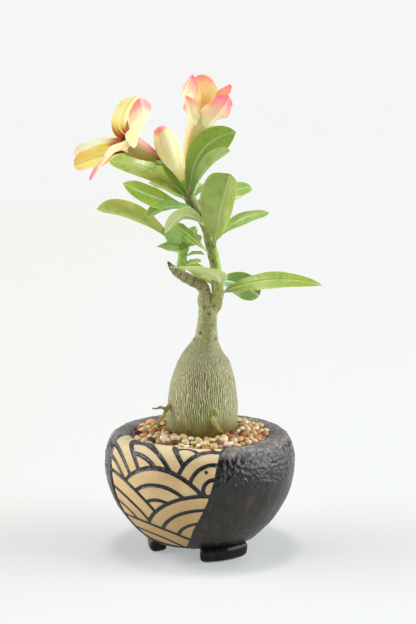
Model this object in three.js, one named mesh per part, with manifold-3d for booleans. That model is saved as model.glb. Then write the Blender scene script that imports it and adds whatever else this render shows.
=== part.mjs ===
// A potted desert rose, Adenium obesum: a flowering plant with a swollen trunk, growing in a round stoneware
// bowl on three feet, its soil covered with pebbles.
//
// Millimetres, +Z up. The origin is on the bowl's axis, on the surface that its feet stand on. -Y is the front.

import * as THREE from 'three';
import { mergeVertices } from 'three/addons/utils/BufferGeometryUtils.js';
import Module from 'manifold-3d';

const wasm = await Module();
wasm.setup();

// ---------------------------------------------------------------- driving dimensions

const CLEARANCE = 0.3;            // gap between neighbouring pieces
const MERGE_DISTANCE = 1e-4;      // points closer than this are one

const BOWL_RADIUS = 59.5;         // widest, at the shoulder
const BOWL_HEIGHT = 73;
const BOWL_SIDES = 44;
const OPENING_RADIUS = 43;
const FLOOR_UNDERSIDE = 7;        // height of the bowl's base above the table
const FLOOR_TOP = 13;
const DRAIN_RADIUS = 6;

const FOOT_COUNT = 3;
const FOOT_OUTER = 35;
const FOOT_INNER = 24;
const FOOT_SPAN = 60;             // degrees of the ring that one foot takes
const FOOT_HEADING = 27;          // degrees from the front, towards +X, of the first foot's middle
const FOOT_TOP = 10;              // the feet run this far up, into the floor
const FOOT_CURVE_SEGMENTS = 5;

const SOIL_TOP = 66;
const ROOT_BOTTOM = 50;           // the trunk's foot stands in the soil down to here
const ROOT_HOLE_RADIUS = 23.6;

const TRUNK_X = 1.2;              // the trunk's foot stands a little right of the bowl's axis
const TRUNK_RADIUS = 22.5;
const TRUNK_SIDES = 40;
const WRINKLE = 0.012;            // depth of the bark's folds, as a share of the radius
const WRINKLE_COUNT = 11;
const BRANCH_SIDES = 10;
const ROOT_SIDES = 5;

const GRAVEL_OUTER = OPENING_RADIUS - 0.7;
const GRAVEL_INNER = ROOT_HOLE_RADIUS;
const PEBBLE_COUNT = 76;
const PEBBLE_SIZE = [2.6, 3.9];   // half the length of the smallest and the largest
const PEBBLE_BREADTH = [0.72, 0.95];  // as shares of that length
const PEBBLE_HEIGHT = [0.62, 0.85];
const PEBBLE_TILT = 0.35;         // radians either way
const PEBBLE_RISE = [-0.1, 0.2];  // how far its middle lies above the bed, as a share of its size
const PEBBLE_DRIFT = 0.12;        // radians that it strays from the even spread
const BED_AT_WALL = 70;
const BED_AT_TRUNK = 75.4;
const BED_SIDES = 32;

const PETALS_IN_BLOOM = 5;
const SEPAL_DEPTH = 0.9;
// [height above the stalk's end, distance from its axis, half width] of a sepal's foot, middle and point
const SEPAL_SECTIONS = [[-1, 1.4, 1], [2.5, 3.4, 1.5], [7, 4.4, 0.4]];
const STEM_SIDES = 10;
const STALK_SIDES = 8;
const BLADE_EDGE = 0.7;           // thickness of a leaf's or petal's edge
const LEAF_RIB = 1.5;             // thickness of a leaf over its midrib
const SMALL_LEAF_RIB = 1;
const PETAL_RIB = 0.9;

// shares of a blade's length at which it has a section
const BLADE_STATIONS = [0, 0.12, 0.27, 0.43, 0.58, 0.72, 0.84, 0.93, 1];
const SMALL_BLADE_STATIONS = [0, 0.25, 0.5, 0.78, 1];
const PETAL_STATIONS = [0, 0.15, 0.32, 0.5, 0.68, 0.83, 0.94, 1];
const STEPS_IN_SPAN = 2;          // sections of a limb between two of its given ones

// ---------------------------------------------------------------- helpers

const vec = ([x, y, z]) => new THREE.Vector3(x, y, z);
const radians = THREE.MathUtils.degToRad;
const lerp = THREE.MathUtils.lerp;

/** A repeatable random number from 0 to 1. */
function seededRandom(seed) {
  let state = seed;
  return () => {
    state = (Math.imul(state, 1664525) + 1013904223) >>> 0;
    return state / 2 ** 32;
  };
}

/** A geometry's positions and faces alone, with its doubled points merged. */
function mergedShape(geometry) {
  const bare = geometry.clone();
  bare.deleteAttribute('normal');
  bare.deleteAttribute('uv');
  return mergeVertices(bare, MERGE_DISTANCE);
}

/** The manifold solid of a closed geometry. */
function solid(geometry) {
  const merged = mergedShape(geometry);
  return new wasm.Manifold(new wasm.Mesh({
    numProp: 3,
    vertProperties: new Float32Array(merged.attributes.position.array),
    triVerts: new Uint32Array(merged.index.array),
  }));
}

/** The geometry of a manifold solid. */
function geometryOf(manifold) {
  const mesh = manifold.getMesh();
  const geometry = new THREE.BufferGeometry();
  geometry.setAttribute('position', new THREE.BufferAttribute(mesh.vertProperties, 3));
  geometry.setIndex(new THREE.BufferAttribute(mesh.triVerts, 1));
  geometry.computeVertexNormals();
  return geometry;
}

/** A solid's largest shell, which leaves out loose scraps and fills what is sealed in. */
function largestShell(manifold) {
  const shells = manifold.decompose();
  return shells.reduce((largest, shell) => (shell.volume() > largest.volume() ? shell : largest));
}

/** Several closed geometries joined in one body. */
function fuse(geometries) {
  return geometryOf(largestShell(geometries.map(solid).reduce((whole, next) => whole.add(next))));
}

/** Six times the volume that a geometry encloses, negative where its faces point inwards. */
function signedVolume(geometry) {
  const { position } = geometry.attributes;
  const [a, b, c] = [new THREE.Vector3(), new THREE.Vector3(), new THREE.Vector3()];
  let volume = 0;
  for (let i = 0; i < geometry.index.count; i += 3) {
    a.fromBufferAttribute(position, geometry.index.getX(i));
    b.fromBufferAttribute(position, geometry.index.getX(i + 1));
    c.fromBufferAttribute(position, geometry.index.getX(i + 2));
    volume += a.dot(b.cross(c));
  }
  return volume;
}

/**
 * A closed body through rings of points, capped at both ends. With twoFaced the second half of each ring is the
 * underside of the first, and its squares are split the same way, so that a thin waved body never meets itself.
 */
function loft(rings, twoFaced = false) {
  const sides = rings[0].length;
  const points = rings.flat();
  const faces = [];
  for (let i = 0; i + 1 < rings.length; i++) {
    for (let j = 0; j < sides; j++) {
      const a = i * sides + j;
      const b = i * sides + ((j + 1) % sides);
      const [c, d] = [a + sides, b + sides];
      if (twoFaced && j > sides / 2) faces.push(a, c, b, b, c, d);
      else faces.push(a, d, b, a, c, d);
    }
  }
  const addCap = (start, reversed) => {
    const centre = new THREE.Vector3();
    for (let j = 0; j < sides; j++) centre.addScaledVector(points[start + j], 1 / sides);
    points.push(centre);
    for (let j = 0; j < sides; j++) {
      const [a, b] = [start + j, start + ((j + 1) % sides)];
      faces.push(points.length - 1, reversed ? b : a, reversed ? a : b);
    }
  };
  const last = (rings.length - 1) * sides;
  addCap(0, false);
  addCap(last, true);
  const geometry = new THREE.BufferGeometry().setFromPoints(points);
  geometry.setIndex(faces);
  if (signedVolume(geometry) < 0) {
    for (let i = 0; i < faces.length; i += 3) [faces[i], faces[i + 1]] = [faces[i + 1], faces[i]];
    geometry.setIndex(faces);
  }
  return geometry;
}

/** A body of revolution from a closed outline of [radius, height] pairs. */
function turned(outline, sides) {
  const points = [...outline, outline[0]].map(([radius, height]) => new THREE.Vector2(radius, height));
  const geometry = new THREE.LatheGeometry(points, sides);
  geometry.rotateX(Math.PI / 2);
  const whole = mergedShape(geometry);
  if (signedVolume(whole) < 0) {
    const index = whole.index.array;
    for (let i = 0; i < index.length; i += 3) [index[i], index[i + 1]] = [index[i + 1], index[i]];
  }
  return whole;
}

/**
 * The smooth line of a stem, root, branch or tube: sections [x, y, z, radius] from foot to tip. ribs gives the
 * factor on the radius at a turn round the line and a share of its length.
 */
function limb(sections, sides, ribs = () => 1) {
  const curve = new THREE.CatmullRomCurve3(sections.map(vec), false, 'centripetal');
  const spans = sections.length - 1;
  const steps = spans * STEPS_IN_SPAN;
  const frames = curve.computeFrenetFrames(steps);
  const rings = [];
  for (let i = 0; i <= steps; i++) {
    const share = i / steps;
    const place = curve.getUtoTmapping(share) * spans;
    const from = Math.min(Math.floor(place), spans - 1);
    const radius = lerp(sections[from][3], sections[from + 1][3], place - from);
    const centre = curve.getPointAt(share);
    const ring = [];
    for (let j = 0; j < sides; j++) {
      const turn = (2 * Math.PI * j) / sides;
      const reach = radius * ribs(turn, share);
      ring.push(centre.clone()
        .addScaledVector(frames.normals[i], reach * Math.cos(turn))
        .addScaledVector(frames.binormals[i], reach * Math.sin(turn)));
    }
    rings.push(ring);
  }
  return loft(rings);
}

/**
 * A leaf or petal: a thin closed blade along a bent midrib.
 *   base, via, tip  the midrib's foot, its middle and its end
 *   face, faceTip   the way the upper side looks at the foot and at the tip
 *   width           the widest, at the share fullest of the length
 *   stalk, neck     width of the stalk, and the share of the length that it takes
 *   fold            how far the halves lean up from the midrib, as a share of the half width
 *   blunt           0.3 for a round end, 1 for a long point
 *   rib             thickness over the midrib
 */
function blade({
  base, via, tip, face, faceTip = face, width, fullest = 0.64, stalk = 2, neck = 0.06, fold = 0.12,
  blunt = 0.5, rib = LEAF_RIB, stations = BLADE_STATIONS,
}) {
  const [foot, middle, end] = [vec(base), vec(via), vec(tip)];
  const control = middle.clone().multiplyScalar(2).addScaledVector(foot, -0.5).addScaledVector(end, -0.5);
  const midrib = new THREE.QuadraticBezierCurve3(foot, control, end);
  const swell = (blunt * (fullest - neck)) / (1 - fullest);
  const rings = stations.map((t) => {
    const shape = (Math.max(t - neck, 0) / (fullest - neck)) ** swell * ((1 - t) / (1 - fullest)) ** blunt;
    const half = Math.max(lerp(stalk / 2, width / 2, shape) - (stalk / 2) * t ** 4, BLADE_EDGE);
    const along = midrib.getTangent(t);
    const up = vec(face).normalize().lerp(vec(faceTip).normalize(), t);
    const side = along.clone().cross(up).normalize();
    const normal = side.clone().cross(along).normalize();
    const centre = midrib.getPoint(t);
    const lift = fold * half;
    const depth = lerp(rib, BLADE_EDGE, t * t);
    const at = (across, height) => centre.clone().addScaledVector(side, across).addScaledVector(normal, height);
    return [
      at(-half, lift - BLADE_EDGE / 2), at(-half, lift + BLADE_EDGE / 2), at(0, BLADE_EDGE / 2),
      at(half, lift + BLADE_EDGE / 2), at(half, lift - BLADE_EDGE / 2), at(0, BLADE_EDGE / 2 - depth),
    ];
  });
  return loft(rings, true);
}

// ---------------------------------------------------------------- bowl, soil and pebbles

const BOWL_OUTSIDE = [
  [33.5, FLOOR_UNDERSIDE], [36.5, 9.5], [40.1, 13], [44.8, 18], [49.4, 24], [53.5, 31], [57, 39], [59.1, 48],
  [BOWL_RADIUS, 55], [59, 61], [57.8, 65.5], [55.8, 69.5], [53, 72.2], [50, BOWL_HEIGHT], [46, BOWL_HEIGHT],
  [OPENING_RADIUS, 72.2],
];
const BOWL_INSIDE = [
  [42.7, 70], [44.5, 66], [50, 60], [53, 52], [51.6, 41], [47, 30], [39.5, 20], [30, 14.2], [24, FLOOR_TOP],
];

/** One foot: a block that follows the bowl's ring. */
function foot(heading) {
  const [start, end] = [heading - FOOT_SPAN / 2, heading + FOOT_SPAN / 2].map((turn) => radians(turn - 90));
  const outline = new THREE.Shape();
  outline.absarc(0, 0, FOOT_OUTER, start, end, false);
  outline.absarc(0, 0, FOOT_INNER, end, start, true);
  return new THREE.ExtrudeGeometry(outline, {
    depth: FOOT_TOP, bevelEnabled: false, curveSegments: FOOT_CURVE_SEGMENTS,
  });
}

function bowl() {
  const body = turned([
    [DRAIN_RADIUS, FLOOR_UNDERSIDE], ...BOWL_OUTSIDE, ...BOWL_INSIDE, [DRAIN_RADIUS, FLOOR_TOP],
  ], BOWL_SIDES);
  const feet = [];
  for (let i = 0; i < FOOT_COUNT; i++) feet.push(foot(FOOT_HEADING + (360 / FOOT_COUNT) * i));
  return fuse([body, ...feet]);
}

/** Soil that fills the bowl up to its neck, with a plain round hole for the trunk's foot. */
function soil() {
  const sides = BOWL_INSIDE.filter(([, height]) => height <= SOIL_TOP)
    .map(([radius, height]) => [radius - CLEARANCE, height]).reverse();
  const fill = solid(turned([[0, FLOOR_TOP + CLEARANCE], ...sides.map(([radius, height], i) => (
    [radius, i ? height : height + CLEARANCE])), [0, SOIL_TOP]], BOWL_SIDES));
  return geometryOf(fill.subtract(solid(trunkHole(ROOT_HOLE_RADIUS))));
}

/** The round space that the trunk's foot stands in, open upwards. */
function trunkHole(radius) {
  const depth = BOWL_HEIGHT;
  return new THREE.CylinderGeometry(radius, radius, depth, TRUNK_SIDES)
    .rotateX(Math.PI / 2).translate(TRUNK_X, 0, ROOT_BOTTOM - CLEARANCE + depth / 2);
}

/** One pebble: a rounded stone of uneven sides, lying on its flat. */
function pebble(x, y, z, size, random) {
  const stone = new THREE.IcosahedronGeometry(1, 0);
  stone.scale(size, size * lerp(...PEBBLE_BREADTH, random()), size * lerp(...PEBBLE_HEIGHT, random()));
  stone.rotateY(lerp(-PEBBLE_TILT, PEBBLE_TILT, random())).rotateZ(random() * Math.PI);
  return stone.translate(x, y, z);
}

/** A banked bed with pebbles sunk in it, spread evenly by the golden angle and seeded, round the trunk's hole. */
function gravel() {
  const bottom = SOIL_TOP + CLEARANCE;
  const bed = turned([
    [0, bottom], [GRAVEL_OUTER, bottom], [GRAVEL_OUTER, BED_AT_WALL], [GRAVEL_INNER, BED_AT_TRUNK], [0, BED_AT_TRUNK],
  ], BED_SIDES);
  const ring = geometryOf(solid(bed).subtract(solid(trunkHole(GRAVEL_INNER))));
  const random = seededRandom(7);
  const goldenAngle = Math.PI * (3 - Math.sqrt(5));
  const stones = [ring];
  for (let i = 0; i < PEBBLE_COUNT; i++) {
    const size = lerp(...PEBBLE_SIZE, random());
    const [nearest, furthest] = [GRAVEL_INNER + size - 0.4, GRAVEL_OUTER - size + 0.2];
    const radius = Math.sqrt(lerp(nearest ** 2, furthest ** 2, (i + 0.5) / PEBBLE_COUNT));
    const outwards = (radius - GRAVEL_INNER) / (GRAVEL_OUTER - GRAVEL_INNER);
    const turn = i * goldenAngle + random() * PEBBLE_DRIFT;
    const height = lerp(BED_AT_TRUNK, BED_AT_WALL, outwards) + size * lerp(...PEBBLE_RISE, random());
    stones.push(pebble(
      TRUNK_X * (1 - outwards) + radius * Math.cos(turn), radius * Math.sin(turn), height, size, random,
    ));
  }
  return fuse(stones);
}

// ---------------------------------------------------------------- caudex, branch and roots

// [height, centre x, radius] from the foot in the soil up to the neck under the fork
const TRUNK_SECTIONS = [
  [ROOT_BOTTOM, TRUNK_X, 17], [57, TRUNK_X, 20.6], [66, TRUNK_X, 22.2], [75, TRUNK_X, TRUNK_RADIUS],
  [84, 1.4, 22.4], [92, 1.6, 22], [99, 1.9, 21.2], [106, 2.1, 20], [112.5, 2.4, 18.5], [118, 2.5, 16.5],
  [122, 2.6, 14.3], [126, 3, 11.6], [130, 3.5, 9.1], [134, 4, 7.4], [139.5, 4.3, 6.5], [146, 4.8, 6], [152, 5, 6],
];
const FORK = [5, 0, 151, 5.4];
const MAIN_STUMP = [FORK, [8, 0, 152.6, 4.7], [10, -0.1, 155, 4], [10.6, -0.4, 158.6, 3.6]];
const LEFT_BRANCH = [
  FORK, [2.3, 0, 157, 4.2], [2.1, -0.4, 163.2, 3.7], [0.2, -1, 166.8, 3.8], [-5.3, -2, 170, 3.5],
  [-12, -3.6, 173.8, 3.1], [-16.6, -5, 177.8, 2.3], [-18.6, -5.2, 180.5, 1.2], [-19.9, -5.2, 182.2, 0.5],
];
const ROOTS = [
  [
    [-15, -6, 97, 3.6], [-19.5, -10, 92, 2.4], [-23.4, -14.5, 86.5, 1.8], [-28, -17, 82.5, 1.4],
    [-31.5, -18.5, 80.5, 0.7],
  ],
  [[-18.5, -9, 92.5, 1.4], [-23.5, -12.5, 91.5, 1], [-29.5, -14.5, 91.6, 0.6]],
  [[4, -18, 95, 2.6], [7.2, -21.6, 91, 1.7], [10, -23.8, 85, 1.5], [14.8, -26, 80.4, 0.7]],
  [[9, -17, 93, 2], [13, -20.5, 89, 1.4], [16, -23.5, 84, 0.7]],
];

/** The swollen trunk, its bark in shallow upright folds that fade towards the neck. */
function trunk() {
  return loft(TRUNK_SECTIONS.map(([height, x, radius], level) => {
    const ring = [];
    for (let j = 0; j < TRUNK_SIDES; j++) {
      const turn = (2 * Math.PI * j) / TRUNK_SIDES;
      const folds = Math.sin(WRINKLE_COUNT * turn + 0.5 * Math.sin(level)) + 0.6 * Math.sin(5 * turn + level * 0.4);
      const reach = radius * (1 + WRINKLE * folds);
      ring.push(new THREE.Vector3(x + reach * Math.cos(turn), reach * Math.sin(turn), height));
    }
    return ring;
  }));
}

function caudex() {
  const branches = [MAIN_STUMP, LEFT_BRANCH].map((line) => limb(line, BRANCH_SIDES));
  const roots = ROOTS.map((line) => limb(line, ROOT_SIDES));
  return fuse([trunk(), ...branches, ...roots]);
}

// ---------------------------------------------------------------- shoots

const MAIN_STEM = [
  [10.6, -0.4, 158.9, 3.6], [11, -1, 164, 3.7], [10.5, -1.5, 171, 3.7], [9.8, -2, 178, 3.4],
  [8.4, -2, 185.5, 3.4], [5.9, -1.5, 194.6, 3.2], [3.8, -1, 203, 3], [0.3, -0.5, 210, 3.2],
  [-3.6, 0, 216.4, 3.4], [-6.3, 0, 221, 2.4],
];
const CROWN_LEAVES = [
  { base: [-5.6, 0, 221], via: [2, 0, 248], tip: [22.6, 4, 260.6], face: [-0.25, -0.95, 0.2], width: 16.5 },
  {
    base: [-5.4, -1, 221], via: [3.6, -7, 239], tip: [18.4, -14, 250.4], face: [-0.5, -0.55, 0.65], width: 14,
    fold: 0.3,
  },
  { base: [-6.8, -1, 219.5], via: [-30.3, 3, 238.2], tip: [-55.8, 13, 242.4], face: [0.15, -0.5, 0.85], width: 18 },
  { base: [-5.5, -1, 215.5], via: [-29.3, -12, 224.6], tip: [-46.4, -22, 232.2], face: [0.1, -0.65, 0.75], width: 17 },
  { base: [-6.5, 1, 218], via: [-18.7, 16, 225.6], tip: [-31.5, 27, 228.7], face: [0.1, -0.3, 0.95], width: 16 },
  { base: [-6.8, 0, 221.5], via: [-15, -1.5, 235.7], tip: [-21.8, -2.5, 245], face: [0.3, -0.9, 0.3], width: 12 },
  { base: [-5, 1.5, 219.5], via: [-1, 18, 226.5], tip: [4, 34, 226], face: [0, -0.1, 1], width: 16 },
  { base: [-2.3, 2, 212], via: [8.8, 18, 220], tip: [21, 30, 225], face: [0, -0.3, 0.95], width: 16 },
  { base: [2, 1.5, 206], via: [18.4, 17, 221.4], tip: [32.5, 27, 225], face: [0.2, -0.5, 0.8], width: 14 },
  {
    base: [-2.6, -2, 214.2], via: [-19, -14, 216.2], tip: [-30.3, -20, 211.8], face: [0, -0.3, 0.95], width: 9,
    fold: 0.4,
  },
];
const STEM_LEAVES = [
  {
    base: [8.8, -3, 187], via: [12.1, -12, 213.2], tip: [15.9, -15, 236.8], face: [-0.3, -0.92, 0.1], width: 24.5,
    fullest: 0.7, blunt: 0.35, neck: 0.16, stalk: 3, fold: 0.08,
  },
  { base: [6.3, 0, 193], via: [23.8, 10, 205], tip: [43.7, 17, 210], face: [-0.2, -0.45, 0.85], width: 14 },
  { base: [3.6, 1.5, 202], via: [-4, 18, 209], tip: [-12, 31, 207.5], face: [0, -0.1, 1], width: 14 },
  {
    base: [3.4, -2.6, 203.3], via: [-9.5, -15, 212], tip: [-21, -22, 201.2], face: [0, 0.55, 0.85],
    faceTip: [-0.8, 0.55, 0], width: 10.5,
  },
  {
    base: [7.6, -3, 185], via: [-3.5, -11, 196.4], tip: [-14.3, -18, 205.4], face: [0.2, -0.6, 0.75], width: 11,
    stalk: 1.6, fullest: 0.75, neck: 0.2,
  },
];
const FORK_LEAVES = [
  {
    base: [12, -1, 161.4], via: [44.8, 2, 169.6], tip: [77.2, 8, 165.2], face: [0, -0.6, 0.8], width: 15,
    fullest: 0.55, blunt: 0.75,
  },
  { base: [11.3, 0.5, 169.5], via: [25, 14, 165.4], tip: [37.8, 23, 156.6], face: [0.4, -0.75, 0.5], width: 17 },
  {
    base: [10.3, -3, 165.7], via: [4.4, -14, 175.8], tip: [-19.7, -22, 181], face: [0.1, 0.5, 0.85], width: 17,
    fullest: 0.42, blunt: 0.9,
  },
  { base: [9.5, 1, 166.5], via: [2, 14, 171.5], tip: [-10, 24, 177.4], face: [0, -0.4, 0.9], width: 12 },
];
const LEFT_STEM = [[-11.5, -3.2, 178.4, 2.9], [-11, -3.2, 184, 2.7], [-10.4, -3, 190.5, 2]];
const LONG_LEFT_LEAF = {
  base: [-11.5, -3.6, 189.5], via: [-37.4, -13, 211], tip: [-62.4, -16, 216.2], face: [0.3, -0.5, 0.8], width: 17,
};
const SMALL_LEAVES = [
  { base: [-10.3, -4.4, 189], via: [-16.9, -10, 191.6], tip: [-25.5, -13, 192.3], face: [0, -0.7, 0.7], width: 8 },
  { base: [-9.6, -4, 185], via: [-2.9, -7, 187.8], tip: [3.1, -8, 186.5], face: [0, -0.3, 0.95], width: 4.5 },
  { base: [-9.8, -4, 180.8], via: [-4, -6, 182], tip: [1.2, -6.6, 182.8], face: [0, -0.6, 0.8], width: 5 },
  { base: [-11, -3.6, 189], via: [-15.8, -6, 196.7], tip: [-19.4, -6, 205.3], face: [0.4, -0.8, 0.3], width: 11 },
  { base: [-10.6, -3, 190], via: [-12.2, -2, 197.5], tip: [-13.1, -1, 204.8], face: [0, -0.9, 0.3], width: 9 },
  { base: [-9.8, -3, 190], via: [-6.6, -1, 196.2], tip: [-2.3, 2, 203.3], face: [-0.4, -0.8, 0.4], width: 8 },
  { base: [-9.8, -3.2, 190], via: [-4, -3, 194.2], tip: [1.4, -2.2, 197.6], face: [-0.3, -0.7, 0.6], width: 7 },
];

/** A flower stalk that ends in a ring of five pointed sepals round the foot of the bloom. */
function stalkWithCalyx(line, heading) {
  const end = vec(line.at(-1));
  const [u, v] = crossAxes(heading);
  const sepals = [];
  for (let i = 0; i < PETALS_IN_BLOOM; i++) {
    const turn = (2 * Math.PI * i) / PETALS_IN_BLOOM;
    const out = u.clone().multiplyScalar(Math.cos(turn)).addScaledVector(v, Math.sin(turn));
    const at = (rise, reach, half, depth) => end.clone().addScaledVector(heading, rise).addScaledVector(out, reach)
      .addScaledVector(heading.clone().cross(out), half).addScaledVector(out, depth);
    sepals.push(loft(SEPAL_SECTIONS.map(([rise, reach, half]) => [
      at(rise, reach, -half, 0), at(rise, reach, 0, SEPAL_DEPTH / 2), at(rise, reach, half, 0),
      at(rise, reach, 0, -SEPAL_DEPTH / 2),
    ])));
  }
  return [limb(line, STALK_SIDES), ...sepals];
}

/** Two unit vectors that make a right-handed frame with a direction. */
function crossAxes(direction) {
  const u = new THREE.Vector3(0, 1, 0).cross(direction).normalize();
  return [u, direction.clone().cross(u).normalize()];
}

function mainShoot() {
  return fuse([
    limb(MAIN_STEM, STEM_SIDES), ...[...CROWN_LEAVES, ...STEM_LEAVES, ...FORK_LEAVES].map(blade),
    ...BLOOMS.flatMap(({ stalk, tube }) => stalkWithCalyx(stalk, tubeHeading(tube))),
  ]);
}

function leftShoot() {
  return fuse([limb(LEFT_STEM, STALK_SIDES), blade(LONG_LEFT_LEAF), ...SMALL_LEAVES.map((leaf) => (
    blade({ ...leaf, stations: SMALL_BLADE_STATIONS, rib: SMALL_LEAF_RIB })))]);
}

// ---------------------------------------------------------------- blooms

// stalk: sections of the flower stalk. tube: sections [x, y, z, radius] of the funnel, from calyx to mouth.
// petals: each bends from the mouth's rim through via to tip, and ends with its inner side looking along face.
const OPEN_BLOOM = {
  stalk: [[-6, 0, 220.5, 1.2], [-14, 0.5, 231, 1], [-20, 0.2, 241, 1.1], [-21.3, -0.2, 242.6, 2.2]],
  tube: [
    [-22.3, -0.7, 243.4, 1.3], [-26.5, -3, 246.2, 2.2], [-33, -7.5, 250, 4.2], [-39.5, -12, 253.4, 6.2],
    [-44.1, -15, 255.9, 7],
  ],
  petals: [
    { via: [-45.6, -12, 272], tip: [-37.3, -4, 283.5], face: [-0.6, -0.75, 0.1], width: 14.5 },
    { via: [-60.5, -7, 252.4], tip: [-77.6, -6, 249], face: [-0.1, -0.4, 0.9], width: 17 },
    { via: [-58, -16, 248], tip: [-70.5, -18, 239.6], face: [-0.2, -0.75, 0.6], width: 17 },
    { via: [-47, -27, 248.5], tip: [-62.5, -31, 234.5], face: [-0.7, 0.1, 0.6], width: 13 },
    { via: [-33.6, -26, 267.5], tip: [-35.2, -29, 282], face: [-0.6, 0.8, 0.2], width: 18, fullest: 0.5, stalk: 11 },
  ],
};
const TOP_BLOOM = {
  stalk: [[-6.2, 0.5, 220.5, 1.2], [-7, 5, 226.4, 1], [-7.2, 7, 230.6, 1.1], [-7.2, 7.4, 232.4, 2.2]],
  tube: [
    [-7.2, 7.6, 233.7, 1.3], [-7.2, 8, 240, 2.2], [-6.6, 9, 250, 3.4], [-3.6, 9.6, 260, 5.2], [0.8, 10, 267.5, 7],
  ],
  petals: [
    { via: [-8.2, 8, 281], tip: [-4.2, 11, 296], face: [0.7, 0.7, 0], width: 13 },
    { via: [3.4, 19, 282], tip: [4.5, 17, 295.6], face: [0, -1, 0.2], width: 20 },
    { via: [14, 15, 280], tip: [19.6, 11, 288.6], face: [-0.6, -0.5, 0.5], width: 14 },
    { via: [12.5, -1, 274], tip: [17.6, -0.5, 283], face: [-0.5, 0.7, 0.5], width: 17 },
    { via: [-5.5, 1, 272.5], tip: [-8.6, 2, 281], face: [0.5, 0.8, 0.1], width: 11 },
  ],
};
const BUD = {
  stalk: [[-6.6, -0.4, 221, 1.2], [-8, -3.6, 225.6, 1], [-9.2, -5, 229.4, 1.1], [-9.8, -5.3, 230.8, 2.2]],
  tube: [
    [-10.4, -5.6, 232.2, 1.3], [-13, -6.2, 238, 2.4], [-16, -6.8, 244.5, 4], [-18.6, -7.2, 250.5, 5.2],
    [-21, -7.6, 256, 5.4], [-23, -7.9, 260.6, 4.6], [-24, -8, 263, 2.4],
  ],
};
const BLOOMS = [OPEN_BLOOM, TOP_BLOOM, BUD];
const PETAL_SHAPE = { rib: PETAL_RIB, fold: 0.2, fullest: 0.6, blunt: 0.4, neck: 0 };
const PETAL_SINK = 3;             // how far down the tube's wall a petal starts
const TUBE_WALL = 0.9;
const TUBE_SIDES = 10;
const HOLLOW_OVERSHOOT = 0.2;     // the hollow runs past the mouth by this share of the tube's last stretch
const BUD_RIB = 0.1;              // depth of the bud's ribs, as a share of its radius
const BUD_TWIST = 4;              // radians that they wind round it

/** The way a bloom's tube leaves its calyx. */
function tubeHeading(tube) {
  return vec(tube[1]).sub(vec(tube[0])).normalize();
}

/** One petal, rooted in the wall of its tube's mouth. */
function petal(tube, { via, tip, face, ...shape }) {
  const [before, mouth] = tube.slice(-2);
  const axis = vec(mouth).sub(vec(before)).normalize();
  const out = vec(via).sub(vec(mouth));
  out.addScaledVector(axis, -out.dot(axis)).normalize();
  const base = vec(mouth).addScaledVector(axis, -PETAL_SINK).addScaledVector(out, mouth[3] - TUBE_WALL);
  return blade({
    ...PETAL_SHAPE, stalk: mouth[3], stations: PETAL_STATIONS, ...shape,
    base: base.toArray(), via, tip, face: out.negate().toArray(), faceTip: face,
  });
}

/** A bloom's funnel, hollow from the mouth down to its narrow foot, with its five petals round the mouth. */
function bloom({ tube, petals }) {
  const hollow = tube.slice(1).map(([x, y, z, radius]) => [x, y, z, radius - TUBE_WALL]);
  const [before, mouth] = hollow.slice(-2);
  hollow.push(mouth.map((value, i) => value + HOLLOW_OVERSHOOT * (value - before[i])));
  const funnel = solid(limb(tube, TUBE_SIDES)).subtract(solid(limb(hollow, TUBE_SIDES)));
  return geometryOf(largestShell(petals.reduce((whole, shape) => whole.add(solid(petal(tube, shape))), funnel)));
}

/** A furled bud: five petals wound round each other show as twisted ribs that deepen towards the tip. */
function bud({ tube }) {
  const ribs = (turn, share) => 1 + BUD_RIB * share * Math.sin(PETALS_IN_BLOOM * turn + BUD_TWIST * share);
  return limb(tube, 3 * PETALS_IN_BLOOM, ribs);
}

// ---------------------------------------------------------------- the model

const plant = new THREE.Group();

/** Adds a named piece with its own material to the model. */
function add(name, geometry, color, roughness, metalness = 0) {
  const mesh = new THREE.Mesh(geometry, new THREE.MeshStandardMaterial({ color, roughness, metalness }));
  mesh.name = name;
  plant.add(mesh);
}

add('pot', bowl(), 0x2e2a26, 0.35);
add('soil', soil(), 0x4a3b2c, 0.95);
add('gravel', gravel(), 0xc9ae86, 0.7);
add('caudex', caudex(), 0x9fa585, 0.7);
add('main_shoot', mainShoot(), 0x7a9a45, 0.5);
add('left_shoot', leftShoot(), 0x8fb25a, 0.5);
add('open_bloom', bloom(OPEN_BLOOM), 0xf3d46a, 0.55);
add('top_bloom', bloom(TOP_BLOOM), 0xf2a06a, 0.55);
add('bud', bud(BUD), 0xf1d779, 0.55);

export default plant;
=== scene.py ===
"""A potted desert rose: a flowering adenium with a swollen trunk in a carved and glazed stoneware bowl.

Sizes are millimetres in the plant's own frame: the origin is on the bowl's axis, on the surface that its feet
stand on, +Z is up and -Y is the front. Meshes are scaled to metres as they are finished.
"""

import logging
import math
from collections.abc import Callable, Iterator, Sequence
from contextlib import contextmanager
from dataclasses import dataclass
from enum import Enum
from functools import cache
from typing import Any

import bmesh
import bpy
import numpy as np
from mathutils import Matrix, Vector, noise


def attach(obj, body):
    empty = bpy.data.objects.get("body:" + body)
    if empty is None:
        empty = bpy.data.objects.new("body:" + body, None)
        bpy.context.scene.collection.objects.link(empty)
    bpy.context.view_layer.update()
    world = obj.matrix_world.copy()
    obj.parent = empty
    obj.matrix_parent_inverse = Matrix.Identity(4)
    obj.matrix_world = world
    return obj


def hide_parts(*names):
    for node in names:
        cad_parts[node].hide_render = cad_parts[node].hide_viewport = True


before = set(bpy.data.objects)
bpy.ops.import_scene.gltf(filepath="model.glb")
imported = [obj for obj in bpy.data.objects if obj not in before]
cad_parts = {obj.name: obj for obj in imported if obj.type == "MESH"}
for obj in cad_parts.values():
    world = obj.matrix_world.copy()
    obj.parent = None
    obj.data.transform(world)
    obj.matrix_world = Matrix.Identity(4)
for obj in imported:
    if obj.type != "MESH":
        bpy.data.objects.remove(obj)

LOG = logging.getLogger("desert_rose")
MILLIMETRE = 0.001
MERGE_DISTANCE = 0.02
TINY = 1e-12
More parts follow.
